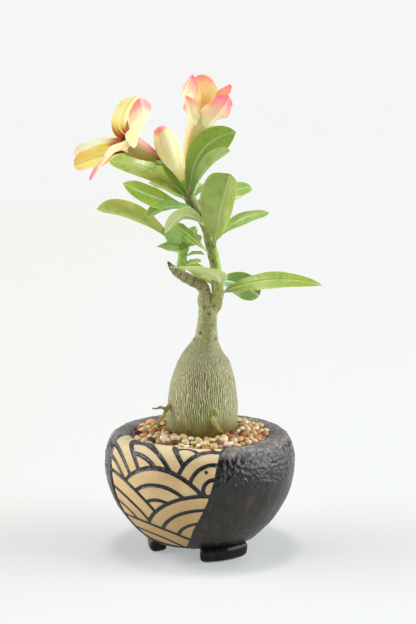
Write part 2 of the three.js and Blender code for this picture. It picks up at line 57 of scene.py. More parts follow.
NOISE_SHIFT = (13.7, 7.3, 3.1)
GOLDEN_SHARE = 3 - math.sqrt(5)
FAR_AWAY = 99.0
CREASE = math.radians(60)
BODY = "root"

Pair = tuple[float, float]
Point = tuple[float, float, float]
Section = tuple[float, float, float, float]
Tint = tuple[float, float, float, float]
Array = np.ndarray
Kept = dict[str, Array]
Placing = Callable[[Array, Array], tuple[Array, Kept]]
Stops = Sequence[tuple[float, str]]


class Slot(Enum):
    """Names of the material slots."""

    STONEWARE = "glazed_stoneware"
    PEBBLES = "pebbles"
    BARK = "caudex_bark"
    LEAF = "leaf"
    PETAL = "petal"


class Mixing(Enum):
    """The ways in which one colour goes over another."""

    PLAIN = "MIX"
    SOFT = "SOFT_LIGHT"
    DARKER = "MULTIPLY"


class Passage(Enum):
    """The ways in which a colour ramp passes from stop to stop."""

    SMOOTH = "EASE"
    SHARP = "CONSTANT"


class Cells(Enum):
    """The kinds of cell pattern."""

    ROUND = "F1"
    MELTED = "SMOOTH_F1"


# ---------------------------------------------------------------------------------------- small maths


def unit(vector: Sequence[float] | Array) -> Array:
    """A vector, or rows of vectors, brought to length one."""
    rows = np.asarray(vector, float)
    return rows / np.maximum(np.linalg.norm(rows, axis=-1, keepdims=True), TINY)


def smooth_step(low: float, high: float, value: Array) -> Array:
    """0 below low, 1 above high, and an even S between them."""
    share = np.clip((value - low) / (high - low), 0.0, 1.0)
    return share * share * (3.0 - 2.0 * share)


def spline(points: Sequence[Sequence[float]], shares: Array) -> Array:
    """A smooth line through points, at shares of its chord length.

    Args:
        points: rows of x, y, z and any further values, such as a radius.
        shares: where to read the line, from 0 at its first point to 1 at its last.

    Returns:
        One row for each share.
    """
    rows = np.asarray(points, float)
    spans = np.sqrt(np.linalg.norm(np.diff(rows[:, :3], axis=0), axis=1))
    knots = np.concatenate([[0.0], np.cumsum(spans)])
    slopes = np.gradient(rows, knots, axis=0)
    place = np.asarray(shares, float) * knots[-1]
    index = np.clip(np.searchsorted(knots, place, side="right") - 1, 0, len(rows) - 2)
    width = knots[index + 1] - knots[index]
    t = ((place - knots[index]) / width)[:, None]
    w = width[:, None]
    start, end = rows[index], rows[index + 1]
    return (
        (2 * t**3 - 3 * t**2 + 1) * start + (t**3 - 2 * t**2 + t) * w * slopes[index]
        + (-2 * t**3 + 3 * t**2) * end + (t**3 - t**2) * w * slopes[index + 1]
    )


def carried_frames(centres: Array) -> tuple[Array, Array]:
    """Two cross directions at each point of a line, carried along it without twist.

    Args:
        centres: the line's points.

    Returns:
        The first and the second direction at each point.
    """
    along = unit(np.gradient(centres, axis=0))
    first = np.cross(along[0], (0.0, 1.0, 0.0))
    sides = [unit(first)]
    for direction in along[1:]:
        side = sides[-1] - direction * np.dot(sides[-1], direction)
        sides.append(unit(side))
    across = np.array(sides)
    return across, np.cross(along, across)


def swept(sections: Sequence[Section], share: Array, samples: int) -> tuple[Array, Array, Array]:
    """Where the rings of a round body stand along its line.

    Args:
        sections: rows of x, y, z and radius.
        share: each ring's place on the line, from 0 to 1.
        samples: how finely the line is measured first.

    Returns:
        Each ring's middle with its radius, and its two cross directions.
    """
    steps = np.linspace(0, 1, samples)
    line = spline(sections, steps)
    first, second = carried_frames(line[:, :3])
    ring, across, other = (
        np.array([np.interp(share, steps, column) for column in rows.T]).T for rows in (line, first, second)
    )
    return ring, across, other


def wobble(points: Array, scale: float, seed: float = 0.0) -> Array:
    """Smooth noise from -1 to 1 at each point.

    Args:
        points: rows of x, y, z.
        scale: size of the noise's lumps, in the points' unit.
        seed: shifts the noise, so that pieces differ.

    Returns:
        One value for each point.
    """
    shift = Vector([seed * part for part in NOISE_SHIFT])
    return np.array([noise.noise(Vector(row) / scale + shift) for row in points])


# ---------------------------------------------------------------------------------------- mesh work


def primitive(add: Callable[..., set[str]], **settings: Any) -> bpy.types.Object:
    """Adds one primitive, with nothing else selected.

    Args:
        add: the operator that adds it.
        settings: the operator's own settings.

    Returns:
        The new object.
    """
    bpy.ops.object.select_all(action="DESELECT")
    add(**settings)
    return bpy.context.active_object


@contextmanager
def editing(piece: bpy.types.Object) -> Iterator[None]:
    """Edit mode on one piece, with all of it selected, and out of it again at the end.

    Args:
        piece: what is edited.

    Yields:
        Nothing.
    """
    only(piece)
    bpy.ops.object.mode_set(mode="EDIT")
    bpy.ops.mesh.select_all(action="SELECT")
    yield
    bpy.ops.object.mode_set(mode="OBJECT")


def only(*pieces: bpy.types.Object) -> None:
    """Selects pieces and nothing else.

    Args:
        pieces: what is selected, the first of them active.
    """
    bpy.ops.object.select_all(action="DESELECT")
    for piece in pieces:
        piece.select_set(True)
    bpy.context.view_layer.objects.active = pieces[0]


def points_of(piece: bpy.types.Object) -> Array:
    """A piece's points.

    Args:
        piece: the piece.

    Returns:
        Rows of x, y, z.
    """
    flat = np.empty(len(piece.data.vertices) * 3, np.float64)
    piece.data.vertices.foreach_get("co", flat)
    return flat.reshape(-1, 3)


def set_points(piece: bpy.types.Object, points: Array) -> None:
    """Moves a piece's points to rows of x, y, z."""
    piece.data.vertices.foreach_set("co", np.asarray(points, np.float64).ravel())
    piece.data.update()


def normals_of(piece: bpy.types.Object) -> Array:
    """A piece's point normals.

    Args:
        piece: the piece.

    Returns:
        One direction for each point.
    """
    flat = np.empty(len(piece.data.vertices) * 3, np.float32)
    piece.data.vertex_normals.foreach_get("vector", flat)
    return flat.reshape(-1, 3).astype(float)


def store(piece: bpy.types.Object, name: str, values: Array | float) -> None:
    """Keeps one number a point under a name that a finish can read."""
    layer = piece.data.attributes.get(name) or piece.data.attributes.new(name, "FLOAT", "POINT")
    layer.data.foreach_set("value", np.broadcast_to(values, len(piece.data.vertices)).astype(np.float32))


def apply_modifier(piece: bpy.types.Object, kind: str, **settings: Any) -> None:
    """Adds one modifier and applies it.

    Args:
        piece: the piece that it changes.
        kind: the modifier's type.
        settings: its properties.
    """
    only(piece)
    modifier = piece.modifiers.new(kind.title(), kind)
    for key, value in settings.items():
        setattr(modifier, key, value)
    bpy.ops.object.modifier_apply(modifier=modifier.name)


def subdivide_smoothly(piece: bpy.types.Object, levels: int) -> None:
    """Applies a subdivision surface."""
    apply_modifier(piece, "SUBSURF", levels=levels, render_levels=levels)


def join(pieces: Sequence[bpy.types.Object], name: str) -> bpy.types.Object:
    """Joins pieces in one.

    Args:
        pieces: at least one piece, the first of which takes up the others.
        name: the whole's name.

    Returns:
        The whole.
    """
    only(*pieces)
    if len(pieces) > 1:
        bpy.ops.object.join()
    whole = bpy.context.view_layer.objects.active
    whole.name = name
    whole.data.name = name
    return whole


def laid_sheet(name: str, columns: int, rows: int, placing: Placing) -> bpy.types.Object:
    """A grid rolled or bent into shape, its meeting edges and poles merged.

    Args:
        name: the new piece's name.
        columns: faces across or round the sheet.
        rows: faces along it.
        placing: gives, for u across and v along, both from 0 to 1, the points and the numbers kept on them.

    Returns:
        The closed piece, in millimetres, with its faces pointing out.
    """
    sheet = primitive(bpy.ops.mesh.primitive_grid_add, x_subdivisions=columns, y_subdivisions=rows, size=1.0)
    sheet.name = name
    flat = points_of(sheet) + 0.5
    points, kept = placing(flat[:, 0], flat[:, 1])
    set_points(sheet, points)
    for key, values in kept.items():
        store(sheet, key, values)
    with editing(sheet):
        bpy.ops.mesh.remove_doubles(threshold=MERGE_DISTANCE)
        bpy.ops.mesh.normals_make_consistent(inside=False)
    return sheet


# ---------------------------------------------------------------------------------------- shader maths


def linear(colour: str) -> Tint:
    """A colour as the shader reads it.

    Args:
        colour: six hexadecimal digits.

    Returns:
        Its red, green and blue light, and 1.
    """
    parts = [int(colour[i:i + 2], 16) / 255 for i in (0, 2, 4)]
    light = [part / 12.92 if part <= 0.04045 else ((part + 0.055) / 1.055) ** 2.4 for part in parts]
    return (*light, 1.0)


class Wire:
    """An output socket of a graph, which takes part in sums as a number does."""

    def __init__(self, graph: "Graph", socket: bpy.types.NodeSocket) -> None:
        """Keeps the socket and the graph that it is in."""
        self.graph = graph
        self.socket = socket

    def _math(self, operation: str, *values: "Wire | float") -> "Wire":
        """One Math node."""
        return self.graph.node("ShaderNodeMath", {"operation": operation}, dict(enumerate(values)))

    def __add__(self, other: "Wire | float") -> "Wire":
        """self + other."""
        return self._math("ADD", self, other)

    def __radd__(self, other: float) -> "Wire":
        """other + self."""
        return self._math("ADD", other, self)

    def __sub__(self, other: "Wire | float") -> "Wire":
        """self - other."""
        return self._math("SUBTRACT", self, other)

    def __rsub__(self, other: float) -> "Wire":
        """other - self."""
        return self._math("SUBTRACT", other, self)

    def __mul__(self, other: "Wire | float") -> "Wire":
        """self * other."""
        return self._math("MULTIPLY", self, other)

    def __rmul__(self, other: float) -> "Wire":
        """other * self."""
        return self._math("MULTIPLY", other, self)

    def __pow__(self, other: float) -> "Wire":
        """self to a power."""
        return self._math("POWER", self, other)

    def __abs__(self) -> "Wire":
        """The value without its sign."""
        return self._math("ABSOLUTE", self)

    def turn_from(self, across: "Wire") -> "Wire":
        """The angle in radians whose sine is this wire's share and whose cosine the other's."""
        return self._math("ARCTAN2", self, across)

    def sine(self) -> "Wire":
        """The sine of an angle in radians."""
        return self._math("SINE", self)

    def higher(self, other: "Wire | float") -> "Wire":
        """The higher of two values."""
        return self._math("MAXIMUM", self, other)

    def step(self, low: float, high: float, to_low: float = 0.0, to_high: float = 1.0) -> "Wire":
        """An even S between two values.

        Args:
            low: where it starts.
            high: where it ends.
            to_low: its value at and below the start.
            to_high: its value at and above the end.

        Returns:
            The value.
        """
        return self.graph.node(
            "ShaderNodeMapRange", {"interpolation_type": "SMOOTHSTEP"},
            {"Value": self, "From Min": low, "From Max": high, "To Min": to_low, "To Max": to_high},
        )


class Graph:
    """The node tree of a material or a world, built by expressions."""

    def __init__(self, owner: bpy.types.Material | bpy.types.World) -> None:
        """Empties the owner's tree.

        Args:
            owner: what the tree belongs to.
        """
        owner.use_nodes = True
        self.tree = owner.node_tree
        self.tree.nodes.clear()

    def node(
        self, kind: str, settings: dict[str, Any] | None = None, values: dict[str | int, Any] | None = None,
        output: str | int = 0,
    ) -> Wire:
        """Adds any node.

        Args:
            kind: the node's type.
            settings: its properties, and stops for a colour ramp, as pairs of place and colour.
            values: numbers, colours or wires for its input sockets, by name or number.
            output: the output socket that is wanted.

        Returns:
            That output.
        """
        made = self.tree.nodes.new(kind)
        for key, value in (settings or {}).items():
            if key == "stops":
                self._set_stops(made.color_ramp, value)
            else:
                setattr(made, key, value)
        for key, value in (values or {}).items():
            if isinstance(value, Wire):
                self.tree.links.new(value.socket, made.inputs[key])
            else:
                made.inputs[key].default_value = value
        return Wire(self, made.outputs[output])

    @staticmethod
    def _set_stops(ramp: bpy.types.ColorRamp, stops: Stops) -> None:
        """Gives a ramp its stops.

        Args:
            ramp: the new ramp.
            stops: pairs of place and colour.
        """
        while len(ramp.elements) < len(stops):
            ramp.elements.new(1.0)
        for element, (place, colour) in zip(ramp.elements, stops, strict=True):
            element.position = place
            element.color = linear(colour)

    def place(self) -> Wire:
        """The point's place on the object, in metres."""
        return self.node("ShaderNodeTexCoord", output="Object")

    def axis(self, name: str, vector: Wire | None = None) -> Wire:
        """One part of a vector, in millimetres where it is the point's place."""
        part = self.node("ShaderNodeSeparateXYZ", {}, {0: vector or self.place()}, name)
        return part if vector else part * (1 / MILLIMETRE)

    def stored(self, name: str) -> Wire:
        """A number kept on the mesh."""
        return self.node("ShaderNodeAttribute", {"attribute_name": name}, {}, "Fac")

    def stretched(self, x: float, y: float, z: float) -> Wire:
        """The place, scaled along each axis."""
        return self.node("ShaderNodeVectorMath", {"operation": "MULTIPLY"}, {0: self.place(), 1: (x, y, z)})

    def noise(
        self, size: float, detail: float = 3.0, vector: Wire | None = None, distortion: float = 0.0,
    ) -> Wire:
        """Cloudy noise.

        Args:
            size: of its lumps, in millimetres.
            detail: how many finer layers it has.
            vector: where it is read, the point's place if it is left out.
            distortion: how much it swirls.

        Returns:
            A value from 0 to 1.
        """
        values = {
            "Vector": vector or self.place(), "Scale": 1 / (size * MILLIMETRE), "Detail": detail,
            "Distortion": distortion,
        }
        return self.node("ShaderNodeTexNoise", {}, values)

    def cells(self, size: float, kind: Cells = Cells.ROUND) -> Wire:
        """The distance to the middle of the nearest cell, in a pattern of a size in millimetres."""
        values = {"Vector": self.place(), "Scale": 1 / (size * MILLIMETRE)}
        return self.node("ShaderNodeTexVoronoi", {"feature": kind.value}, values, "Distance")

    def blend(
        self, share: Wire | float, first: Wire | str, second: Wire | str, how: Mixing = Mixing.PLAIN,
    ) -> Wire:
        """Two colours mixed.

        Args:
            share: 0 for the first colour alone, 1 for all of the second.
            first: the colour below.
            second: the colour over it.
            how: the way in which it goes over.

        Returns:
            The mixed colour.
        """
        below, over = (linear(colour) if isinstance(colour, str) else colour for colour in (first, second))
        settings = {"data_type": "RGBA", "blend_type": how.value, "clamp_factor": True}
        return self.node("ShaderNodeMix", settings, {0: share, 6: below, 7: over}, 2)

    def ramp(self, value: Wire, stops: Stops, how: Passage = Passage.SMOOTH) -> Wire:
        """A colour ramp.

        Args:
            value: where it is read.
            stops: its pairs of place and colour.
            how: the way in which it passes from stop to stop.

        Returns:
            The colour.
        """
        made = self.node("ShaderNodeValToRGB", {"stops": stops}, {0: value})
        made.socket.node.color_ramp.interpolation = how.value
        return made

    def bump(self, height: Wire, depth: float) -> Wire:
        """A bumped normal, for which a height of 1 stands for a depth in millimetres."""
        values = {"Height": height, "Distance": depth * MILLIMETRE, "Strength": 1.0}
        return self.node("ShaderNodeBump", {}, values)

    def surface(self, colour: Wire, roughness: Wire | float, normal: Wire, **others: Any) -> None:
        """Ends the tree in a shader.

        Args:
            colour: the base colour.
            roughness: of the main layer.
            normal: the bumped normal.
            others: further sockets, with _ for a space in their names.
        """
        values: dict[str | int, Any] = {"Base Color": colour, "Roughness": roughness, "Normal": normal}
        for key, value in others.items():
            values[key.replace("_", " ")] = value
        self.end(self.node("ShaderNodeBsdfPrincipled", {}, values), "ShaderNodeOutputMaterial")

    def end(self, shader: Wire, kind: str) -> None:
        """Wires a shader to a new output of the owner's kind."""
        self.tree.links.new(shader.socket, self.tree.nodes.new(kind).inputs["Surface"])


@dataclass(frozen=True)
class Finish:
    """What a piece is dressed in. Each one wires its nodes in its own way."""

    name: str

    @cache
    def material(self) -> bpy.types.Material:
        """The material, made on the first call.

        Returns:
            The same one on each call.
        """
        made = bpy.data.materials.new(self.name)
        self.wire(Graph(made))
        return made

    def wire(self, g: Graph) -> None:
        """Wires the finish in an empty tree."""
        raise NotImplementedError


def finish_piece(piece: bpy.types.Object, finish: Finish, node: str) -> None:
    """Scales a piece to metres, smooths and dresses it, and hands it to the frame.

    Args:
        piece: the finished mesh, in millimetres.
        finish: what it is dressed in.
        node: the CAD node that it stands for.
    """
    set_points(piece, points_of(piece) * MILLIMETRE)
    only(piece)
    bpy.ops.object.shade_smooth_by_angle(angle=CREASE)
    piece.data.materials.clear()
    piece.data.materials.append(finish.material())
    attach(piece, BODY)
    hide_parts(node)
    LOG.info("%s: %d faces", piece.name, len(piece.data.polygons))


# ---------------------------------------------------------------------------------------- the bowl


@dataclass(frozen=True)
class Glaze(Finish):
    """Near-black glaze over bare cream clay, told apart by the kept distances, with painted shade on the clay
    towards the bottom.

    The glaze's pits and ripples are as deep as `pitted` says, 1 on the wall. `shine` is its specular level.
    """

    pitted: float
    shine: float
    clay: Stops = ((0.2, "c2a06c"), (0.5, "d3b482"), (0.85, "e4cc9e"))
    clay_high: str = "eadfba"
    # painted shade: the clay's colour towards the bottom of the bowl
    clay_painted_underside_shade: str = "947848"
    clay_grain: str = "c09c6c"
    clay_specks: str = "76563a"
    glazed: Stops = ((0.3, "100d0a"), (0.5, "221c15"), (0.75, "3d3226"))
    shoulder: str = "0a0b0e"
    rim_grey_and_painted_reflection: Stops = ((0.35, "67635f"), (0.7, "a19c98"))
    carved_line: str = "14161c"
    clay_roughness: float = 0.74
    glaze_roughness: float = 0.42
    least_roughness: float = 0.12
    relief: float = 0.38
    coat_roughness: float = 0.1

    def wire(self, g: Graph) -> None:
        """Wires the clay, then the glaze, and tells them apart.

        Args:
            g: the empty tree.
        """
        edge_noise = (g.noise(1.2) - 0.5) * 0.7
        in_lines = (g.stored("line") + edge_noise * 0.5).step(-0.1, 0.22)
        bare = in_lines * (g.stored("panel") + edge_noise).step(-0.1, 0.2)
        height = g.axis("Z")
        grain = g.noise(0.5, 4.0)
        cloud = g.noise(14.0, 3.0)
        speckle = g.cells(1.5).step(0.05, 0.16, 1.0, 0.0)
        scratch = g.noise(0.8, 3.0, g.stretched(0.25, 0.25, 1.6))
        body = g.ramp(cloud + (scratch - 0.5) * 0.7, self.clay)
        body = g.blend(height.step(64, 76) * 0.55, body, self.clay_high)
        # painted shade: the clay is darkened towards the bottom, where the bowl's underside is in shade
        body = g.blend(height.step(14, 60, 0.6, 0.0), body, self.clay_painted_underside_shade)
        body = g.blend(grain.step(0.35, 0.75) * 0.22, body, self.clay_grain)
        body = g.blend(speckle * g.noise(9.0).step(0.48, 0.6) * 0.7, body, self.clay_specks)
        brush = g.noise(3.0, 4.0, g.stretched(1.0, 1.0, 0.18))
        shoulder = g.stored("shoulder")
        dark = g.blend(shoulder * 0.8, g.ramp(brush, self.glazed), self.shoulder)
        rim = height.step(68.5, 73.0)
        # the rim's grey band is partly its own matte glaze and partly a painted reflection of the bright room
        dark = g.blend(rim * 0.8, dark, g.ramp(brush, self.rim_grey_and_painted_reflection))
        in_line = g.stored("panel").step(-1.0, 0.4)
        dark = g.blend(in_line * 0.7, dark, self.carved_line)
        colour = g.blend(bare, dark, body)
        rough = self.glaze_roughness - shoulder * 0.22 + (brush - 0.5) * 0.25 + rim * 0.10 - in_line * 0.10
        roughness = bare * self.clay_roughness + (1.0 - bare) * rough.higher(self.least_roughness)
        pits = g.noise(1.6, 4.0) * 0.6 + g.cells(2.4, Cells.MELTED) * 0.8
        relief = (1.0 - bare) * pits * (0.7 + shoulder * 2.6) * self.pitted
        relief = relief + bare * (grain * 0.35 + scratch * 0.3)
        coat = (1.0 - bare) * (0.08 + shoulder * 0.12)
        g.surface(
            colour, roughness, g.bump(relief, self.relief), Coat_Weight=coat,
            Coat_Roughness=self.coat_roughness, Specular_IOR_Level=self.shine,
        )


@dataclass(frozen=True)
class Fan:
    """Concentric carved rings round one point of the bowl's outside, as in a wave pattern."""

    turn: float
    down: float
    radii: tuple[float, ...]


@dataclass
class Bowl:
    """A round stoneware bowl on three feet, dark glaze with one panel of bare clay carved in waves.

    Heights and radii are millimetres, turns are degrees from the front towards +X, and down is the distance
    along the wall from the opening's edge.
    """

    outside: tuple[Pair, ...] = (
        (33.5, 7), (36.5, 9.5), (40.1, 13), (44.8, 18), (49.4, 24), (53.5, 31), (57, 39), (59.1, 48),
        (59.5, 55), (59.1, 61.4), (57.9, 66.2), (55.9, 70.5), (53.1, 73.3), (50, 74.2), (46, 74.2), (43, 73.4),
    )
    inside: tuple[Pair, ...] = (
        (42.7, 71), (44.5, 66.5), (50, 60), (53, 52), (51.6, 41), (47, 30), (39.5, 20), (30, 14.2), (24, 13),
    )
    drain_radius: float = 6.0
    underside: float = 7.0
    floor: float = 13.0
    drain_side: float = 12.0
    underside_turn: float = 20.0
    spin_steps: int = 36
    levels: int = 3
    swelling: Point = (1.005 * 1.008, 1.005, 1.0)
    line_samples: int = 400
    skin: float = 1.5
    panel_margin: float = -2.0
    fans: tuple[Fan, ...] = (
        Fan(-53.9, 94.0, (34.2, 23.4)),
        Fan(2.0, 71.6, (33.8, 24.6, 14.5)),
        Fan(-65.0, 66.2, (35.8, 25.7, 16.4)),
        Fan(-25.8, 54.7, (31.9, 22.6, 13.2)),
        Fan(8.4, 33.4, (22.8, 15.0, 6.4)),
        Fan(-71.0, 47.1, (39.4, 32.0, 25.6)),
        Fan(-43.6, 43.4, (41.2, 33.2, 27.0)),
        Fan(-8.5, 15.0, (18.4, 8.0)),
    )
    panel_right: tuple[Pair, ...] = (
        (0, 21), (10, 14.5), (20, 11.2), (30, 9), (41, 6), (52, 1.7), (63, -3), (72, -5.6), (82, -10.6),
        (90, -14),
    )
    panel_left: tuple[Pair, ...] = (
        (0, -82), (5, -78.5), (10, -74), (17, -69.2), (30, -66), (45, -65), (57, -65), (70, -62), (80, -59),
    )
    panel_bottom: tuple[Pair, ...] = (
        (-62, 77), (-50, 80.6), (-40, 82.1), (-29, 83.6), (-13, 85),
    )
    pits: tuple[Point, ...] = ((4.0, 22.5, 1.0),)
    line_width: float = 2.3
    line_depth: float = 0.8
    clay_depth: float = 0.35
    dimple_size: float = 2.3
    ripple_size: float = 7.0
    ripple_depth: float = 0.25
    lump_size: float = 16.0
    lump_depth: float = 0.25
    shoulder_from: Pair = (6, 12)
    shoulder_to: Pair = (30, 42)
    rim_lift: float = 1.5
    rim_lift_turn: float = -28.0
    rim_lift_span: float = 26.0
    foot_inner: float = 24.0
    foot_outer: float = 35.0
    foot_span: float = 60.0
    foot_heading: float = 27.0
    foot_top: float = 9.6
    foot_shift: Pair = (1.6, -3.4)
    foot_count: int = 3
    foot_steps: int = 7
    foot_bevel: float = 3.2
    foot_gloss: float = 0.75

    def outline(self) -> Array:
        """The wall's closed section.

        Returns:
            Rows of radius and height.
        """
        foot = [(self.drain_radius, self.underside), (self.underside_turn, self.underside)]
        end = [(self.drain_side, self.floor), (self.drain_radius, self.floor)]
        return np.array([*foot, *self.outside, *self.inside, *end], float)

    def wall_line(self) -> tuple[Array, Array]:
        """The outside's fine outline.

        Returns:
            Rows of radius and height from the opening's edge down, and the distance along them.
        """
        rows = [(radius, 0.0, height) for radius, height in reversed(self.outside)]
        fine = spline(rows, np.linspace(0, 1, self.line_samples))[:, [0, 2]]
        steps = np.linalg.norm(np.diff(fine, axis=0), axis=1)
        return fine, np.concatenate([[0.0], np.cumsum(steps)])

    def wall_point(self, turn: float, down: float) -> Array:
        """A point of the outside, which runs on straight past the foot.

        Args:
            turn: degrees from the front.
            down: the distance from the opening's edge.

        Returns:
            Its x, y and z.
        """
        fine, along = self.wall_line()
        slope = unit(fine[-1] - fine[-2]) * max(0.0, down - along[-1])
        radius = np.interp(down, along, fine[:, 0]) + slope[0]
        height = np.interp(down, along, fine[:, 1]) + slope[1]
        angle = math.radians(turn)
        return np.array([radius * math.sin(angle), -radius * math.cos(angle), height])

    def measure(self, points: Array) -> tuple[Array, Array, Array]:
        """Where points are on the wall.

        Args:
            points: the bowl's points.

        Returns:
            The turn in degrees, the distance down the outside, and how far each point is from the outside.
        """
        fine, along = self.wall_line()
        radius = np.hypot(points[:, 0], points[:, 1])
        turn = np.degrees(np.arctan2(points[:, 0], -points[:, 1]))
        gap = np.hypot(radius[:, None] - fine[None, :, 0], points[:, 2, None] - fine[None, :, 1])
        nearest = gap.argmin(axis=1)
        return turn, along[nearest], gap[np.arange(len(points)), nearest]

    def panel_distance(self, points: Array) -> Array:
        """How far inside the clay panel points are.

        Args:
            points: the bowl's points.

        Returns:
            One distance for each, negative outside the panel.
        """
        turn, down, off = self.measure(points)
        radius = np.hypot(points[:, 0], points[:, 1])
        right = np.interp(down, *np.array(self.panel_right, float).T)
        left = np.interp(down, *np.array(self.panel_left, float).T)
        bottom = np.interp(turn, *np.array(self.panel_bottom, float).T)
        within = np.minimum(np.radians(right - turn) * radius, np.radians(turn - left) * radius)
        return np.minimum(np.minimum(within, bottom - down), np.where(off < self.skin, FAR_AWAY, -off))

    def line_distance(self, points: Array, panel: Array) -> Array:
        """How far points are from the nearest carved line. A fan hides those listed after it.

        Args:
            points: the bowl's points.
            panel: how far inside the panel they are.

        Returns:
            One distance for each.
        """
        nearest = np.abs(panel)
        free = np.ones(len(points), bool)
        for fan in self.fans:
            reach = np.linalg.norm(points - self.wall_point(fan.turn, fan.down), axis=1)
            covered = reach < max(fan.radii)
            rings = np.min([np.abs(reach - radius) for radius in fan.radii], axis=0)
            gap = np.where(covered, rings, reach - max(fan.radii))
            nearest = np.where(free, np.minimum(nearest, gap), nearest)
            free &= ~covered
        return nearest

    def spun_wall(self) -> bpy.types.Object:
        """The wall's section spun round the axis.

        Returns:
            The wall, smoothed and not yet carved.
        """
        section = self.outline()
        wall = primitive(bpy.ops.mesh.primitive_circle_add, vertices=len(section), radius=1.0)
        wall.name = "bowl"
        set_points(wall, np.column_stack([section[:, 0], np.zeros(len(section)), section[:, 1]]))
        with editing(wall):
            bpy.ops.mesh.spin(steps=self.spin_steps, angle=2 * math.pi, center=(0, 0, 0), axis=(0, 0, 1))
            bpy.ops.mesh.select_all(action="SELECT")
            bpy.ops.mesh.remove_doubles(threshold=MERGE_DISTANCE)
            bpy.ops.mesh.normals_make_consistent(inside=False)
        subdivide_smoothly(wall, self.levels)
        set_points(wall, points_of(wall) * self.swelling)
        return wall

    def refine_panel(self, wall: bpy.types.Object) -> None:
        """Splits the faces of the clay panel once more, for the carving.

        Args:
            wall: the spun wall.
        """
        near = self.panel_distance(points_of(wall)) > self.panel_margin
        with editing(wall):
            bpy.ops.mesh.select_all(action="DESELECT")
            mesh = bmesh.from_edit_mesh(wall.data)
            for face in mesh.faces:
                face.select_set(all(near[vertex.index] for vertex in face.verts))
            bmesh.update_edit_mesh(wall.data)
            bpy.ops.mesh.subdivide(number_cuts=1)

    def carve(self, wall: bpy.types.Object) -> None:
        """Cuts the panel's lines, lowers its clay and beats the glazed wall.

        Args:
            wall: the wall, which keeps how far its points are inside the `panel` and from a carved `line`,
                and how much they belong to the `shoulder`.
        """
        points = points_of(wall)
        normals = normals_of(wall)
        panel = self.panel_distance(points)
        line = self.line_distance(points, panel) - self.line_width / 2
        for pit_turn, pit_down, radius in self.pits:
            away = np.linalg.norm(points - self.wall_point(pit_turn, pit_down), axis=1)
            line = np.minimum(line, away - radius)
        cut = (1 - smooth_step(-0.5, 0.35, line)) * smooth_step(-1.2, -0.3, panel)
        clay = smooth_step(-0.2, 0.5, panel) * smooth_step(0.0, 0.4, line)
        turn, down, off = self.measure(points)
        glazed = smooth_step(0.3, 1.6, -panel) * (off < self.skin)
        shoulder = smooth_step(*self.shoulder_from, down) * (1 - smooth_step(*self.shoulder_to, down))
        beaten = wobble(points, self.dimple_size) * (0.14 + 0.42 * shoulder)
        beaten = beaten + wobble(points * (1, 1, 0.4), self.ripple_size, 2.0) * self.ripple_depth
        depth = -self.line_depth * cut - self.clay_depth * clay * (1 - cut) + beaten * glazed
        depth = depth + wobble(points, self.lump_size, 5.0) * self.lump_depth * smooth_step(2, 10, down)
        points = points + normals * depth[:, None]
        lifted = np.exp(-(((turn - self.rim_lift_turn) / self.rim_lift_span) ** 2))
        points[:, 2] += self.rim_lift * lifted * smooth_step(56, 70, points[:, 2])
        set_points(wall, points)
        store(wall, "panel", panel)
        store(wall, "line", line)
        store(wall, "shoulder", shoulder * (off < self.skin))

    def feet(self) -> bpy.types.Object:
        """Three stout feet, each a section spun along the bowl's ring, with worn edges.

        Returns:
            The feet as one piece.
        """
        feet = []
        span = math.radians(self.foot_span)
        for number in range(self.foot_count):
            heading = math.radians(self.foot_heading + 360 / self.foot_count * number - 90)
            foot = primitive(bpy.ops.mesh.primitive_plane_add, size=1.0)
            corners = points_of(foot) + 0.5
            radius = self.foot_inner + corners[:, 0] * (self.foot_outer - self.foot_inner)
            start = heading - span / 2
            height = corners[:, 1] * self.foot_top
            set_points(foot, np.column_stack([radius * math.cos(start), radius * math.sin(start), height]))
            with editing(foot):
                bpy.ops.mesh.spin(steps=self.foot_steps, angle=-span, center=(0, 0, 0), axis=(0, 0, 1))
                bpy.ops.mesh.select_all(action="SELECT")
                bpy.ops.mesh.normals_make_consistent(inside=False)
            apply_modifier(foot, "BEVEL", width=self.foot_bevel, segments=4, limit_method="ANGLE")
            subdivide_smoothly(foot, 2)
            feet.append(foot)
        whole = join(feet, "bowl_feet")
        points = points_of(whole)
        radius = np.hypot(points[:, 0], points[:, 1])
        swell = 1 + 0.02 * wobble(points, 9.0, 4.0) * (radius > 30)
        lumps = np.column_stack([swell, swell, np.ones(len(points))])
        set_points(whole, points * lumps + (*self.foot_shift, 0.0))
        return whole

    def build(self) -> None:
        """Makes the bowl and its feet."""
        wall = self.spun_wall()
        self.refine_panel(wall)
        self.carve(wall)
        finish_piece(wall, Glaze("glazed_stoneware", pitted=1.0, shine=0.38), "pot")
        feet = self.feet()
        for key, value in (("panel", -FAR_AWAY), ("line", -FAR_AWAY), ("shoulder", self.foot_gloss)):
            store(feet, key, value)
        finish_piece(feet, Glaze("foot_glaze", pitted=0.25, shine=0.12), "pot")


# ---------------------------------------------------------------------------------------- soil and gravel


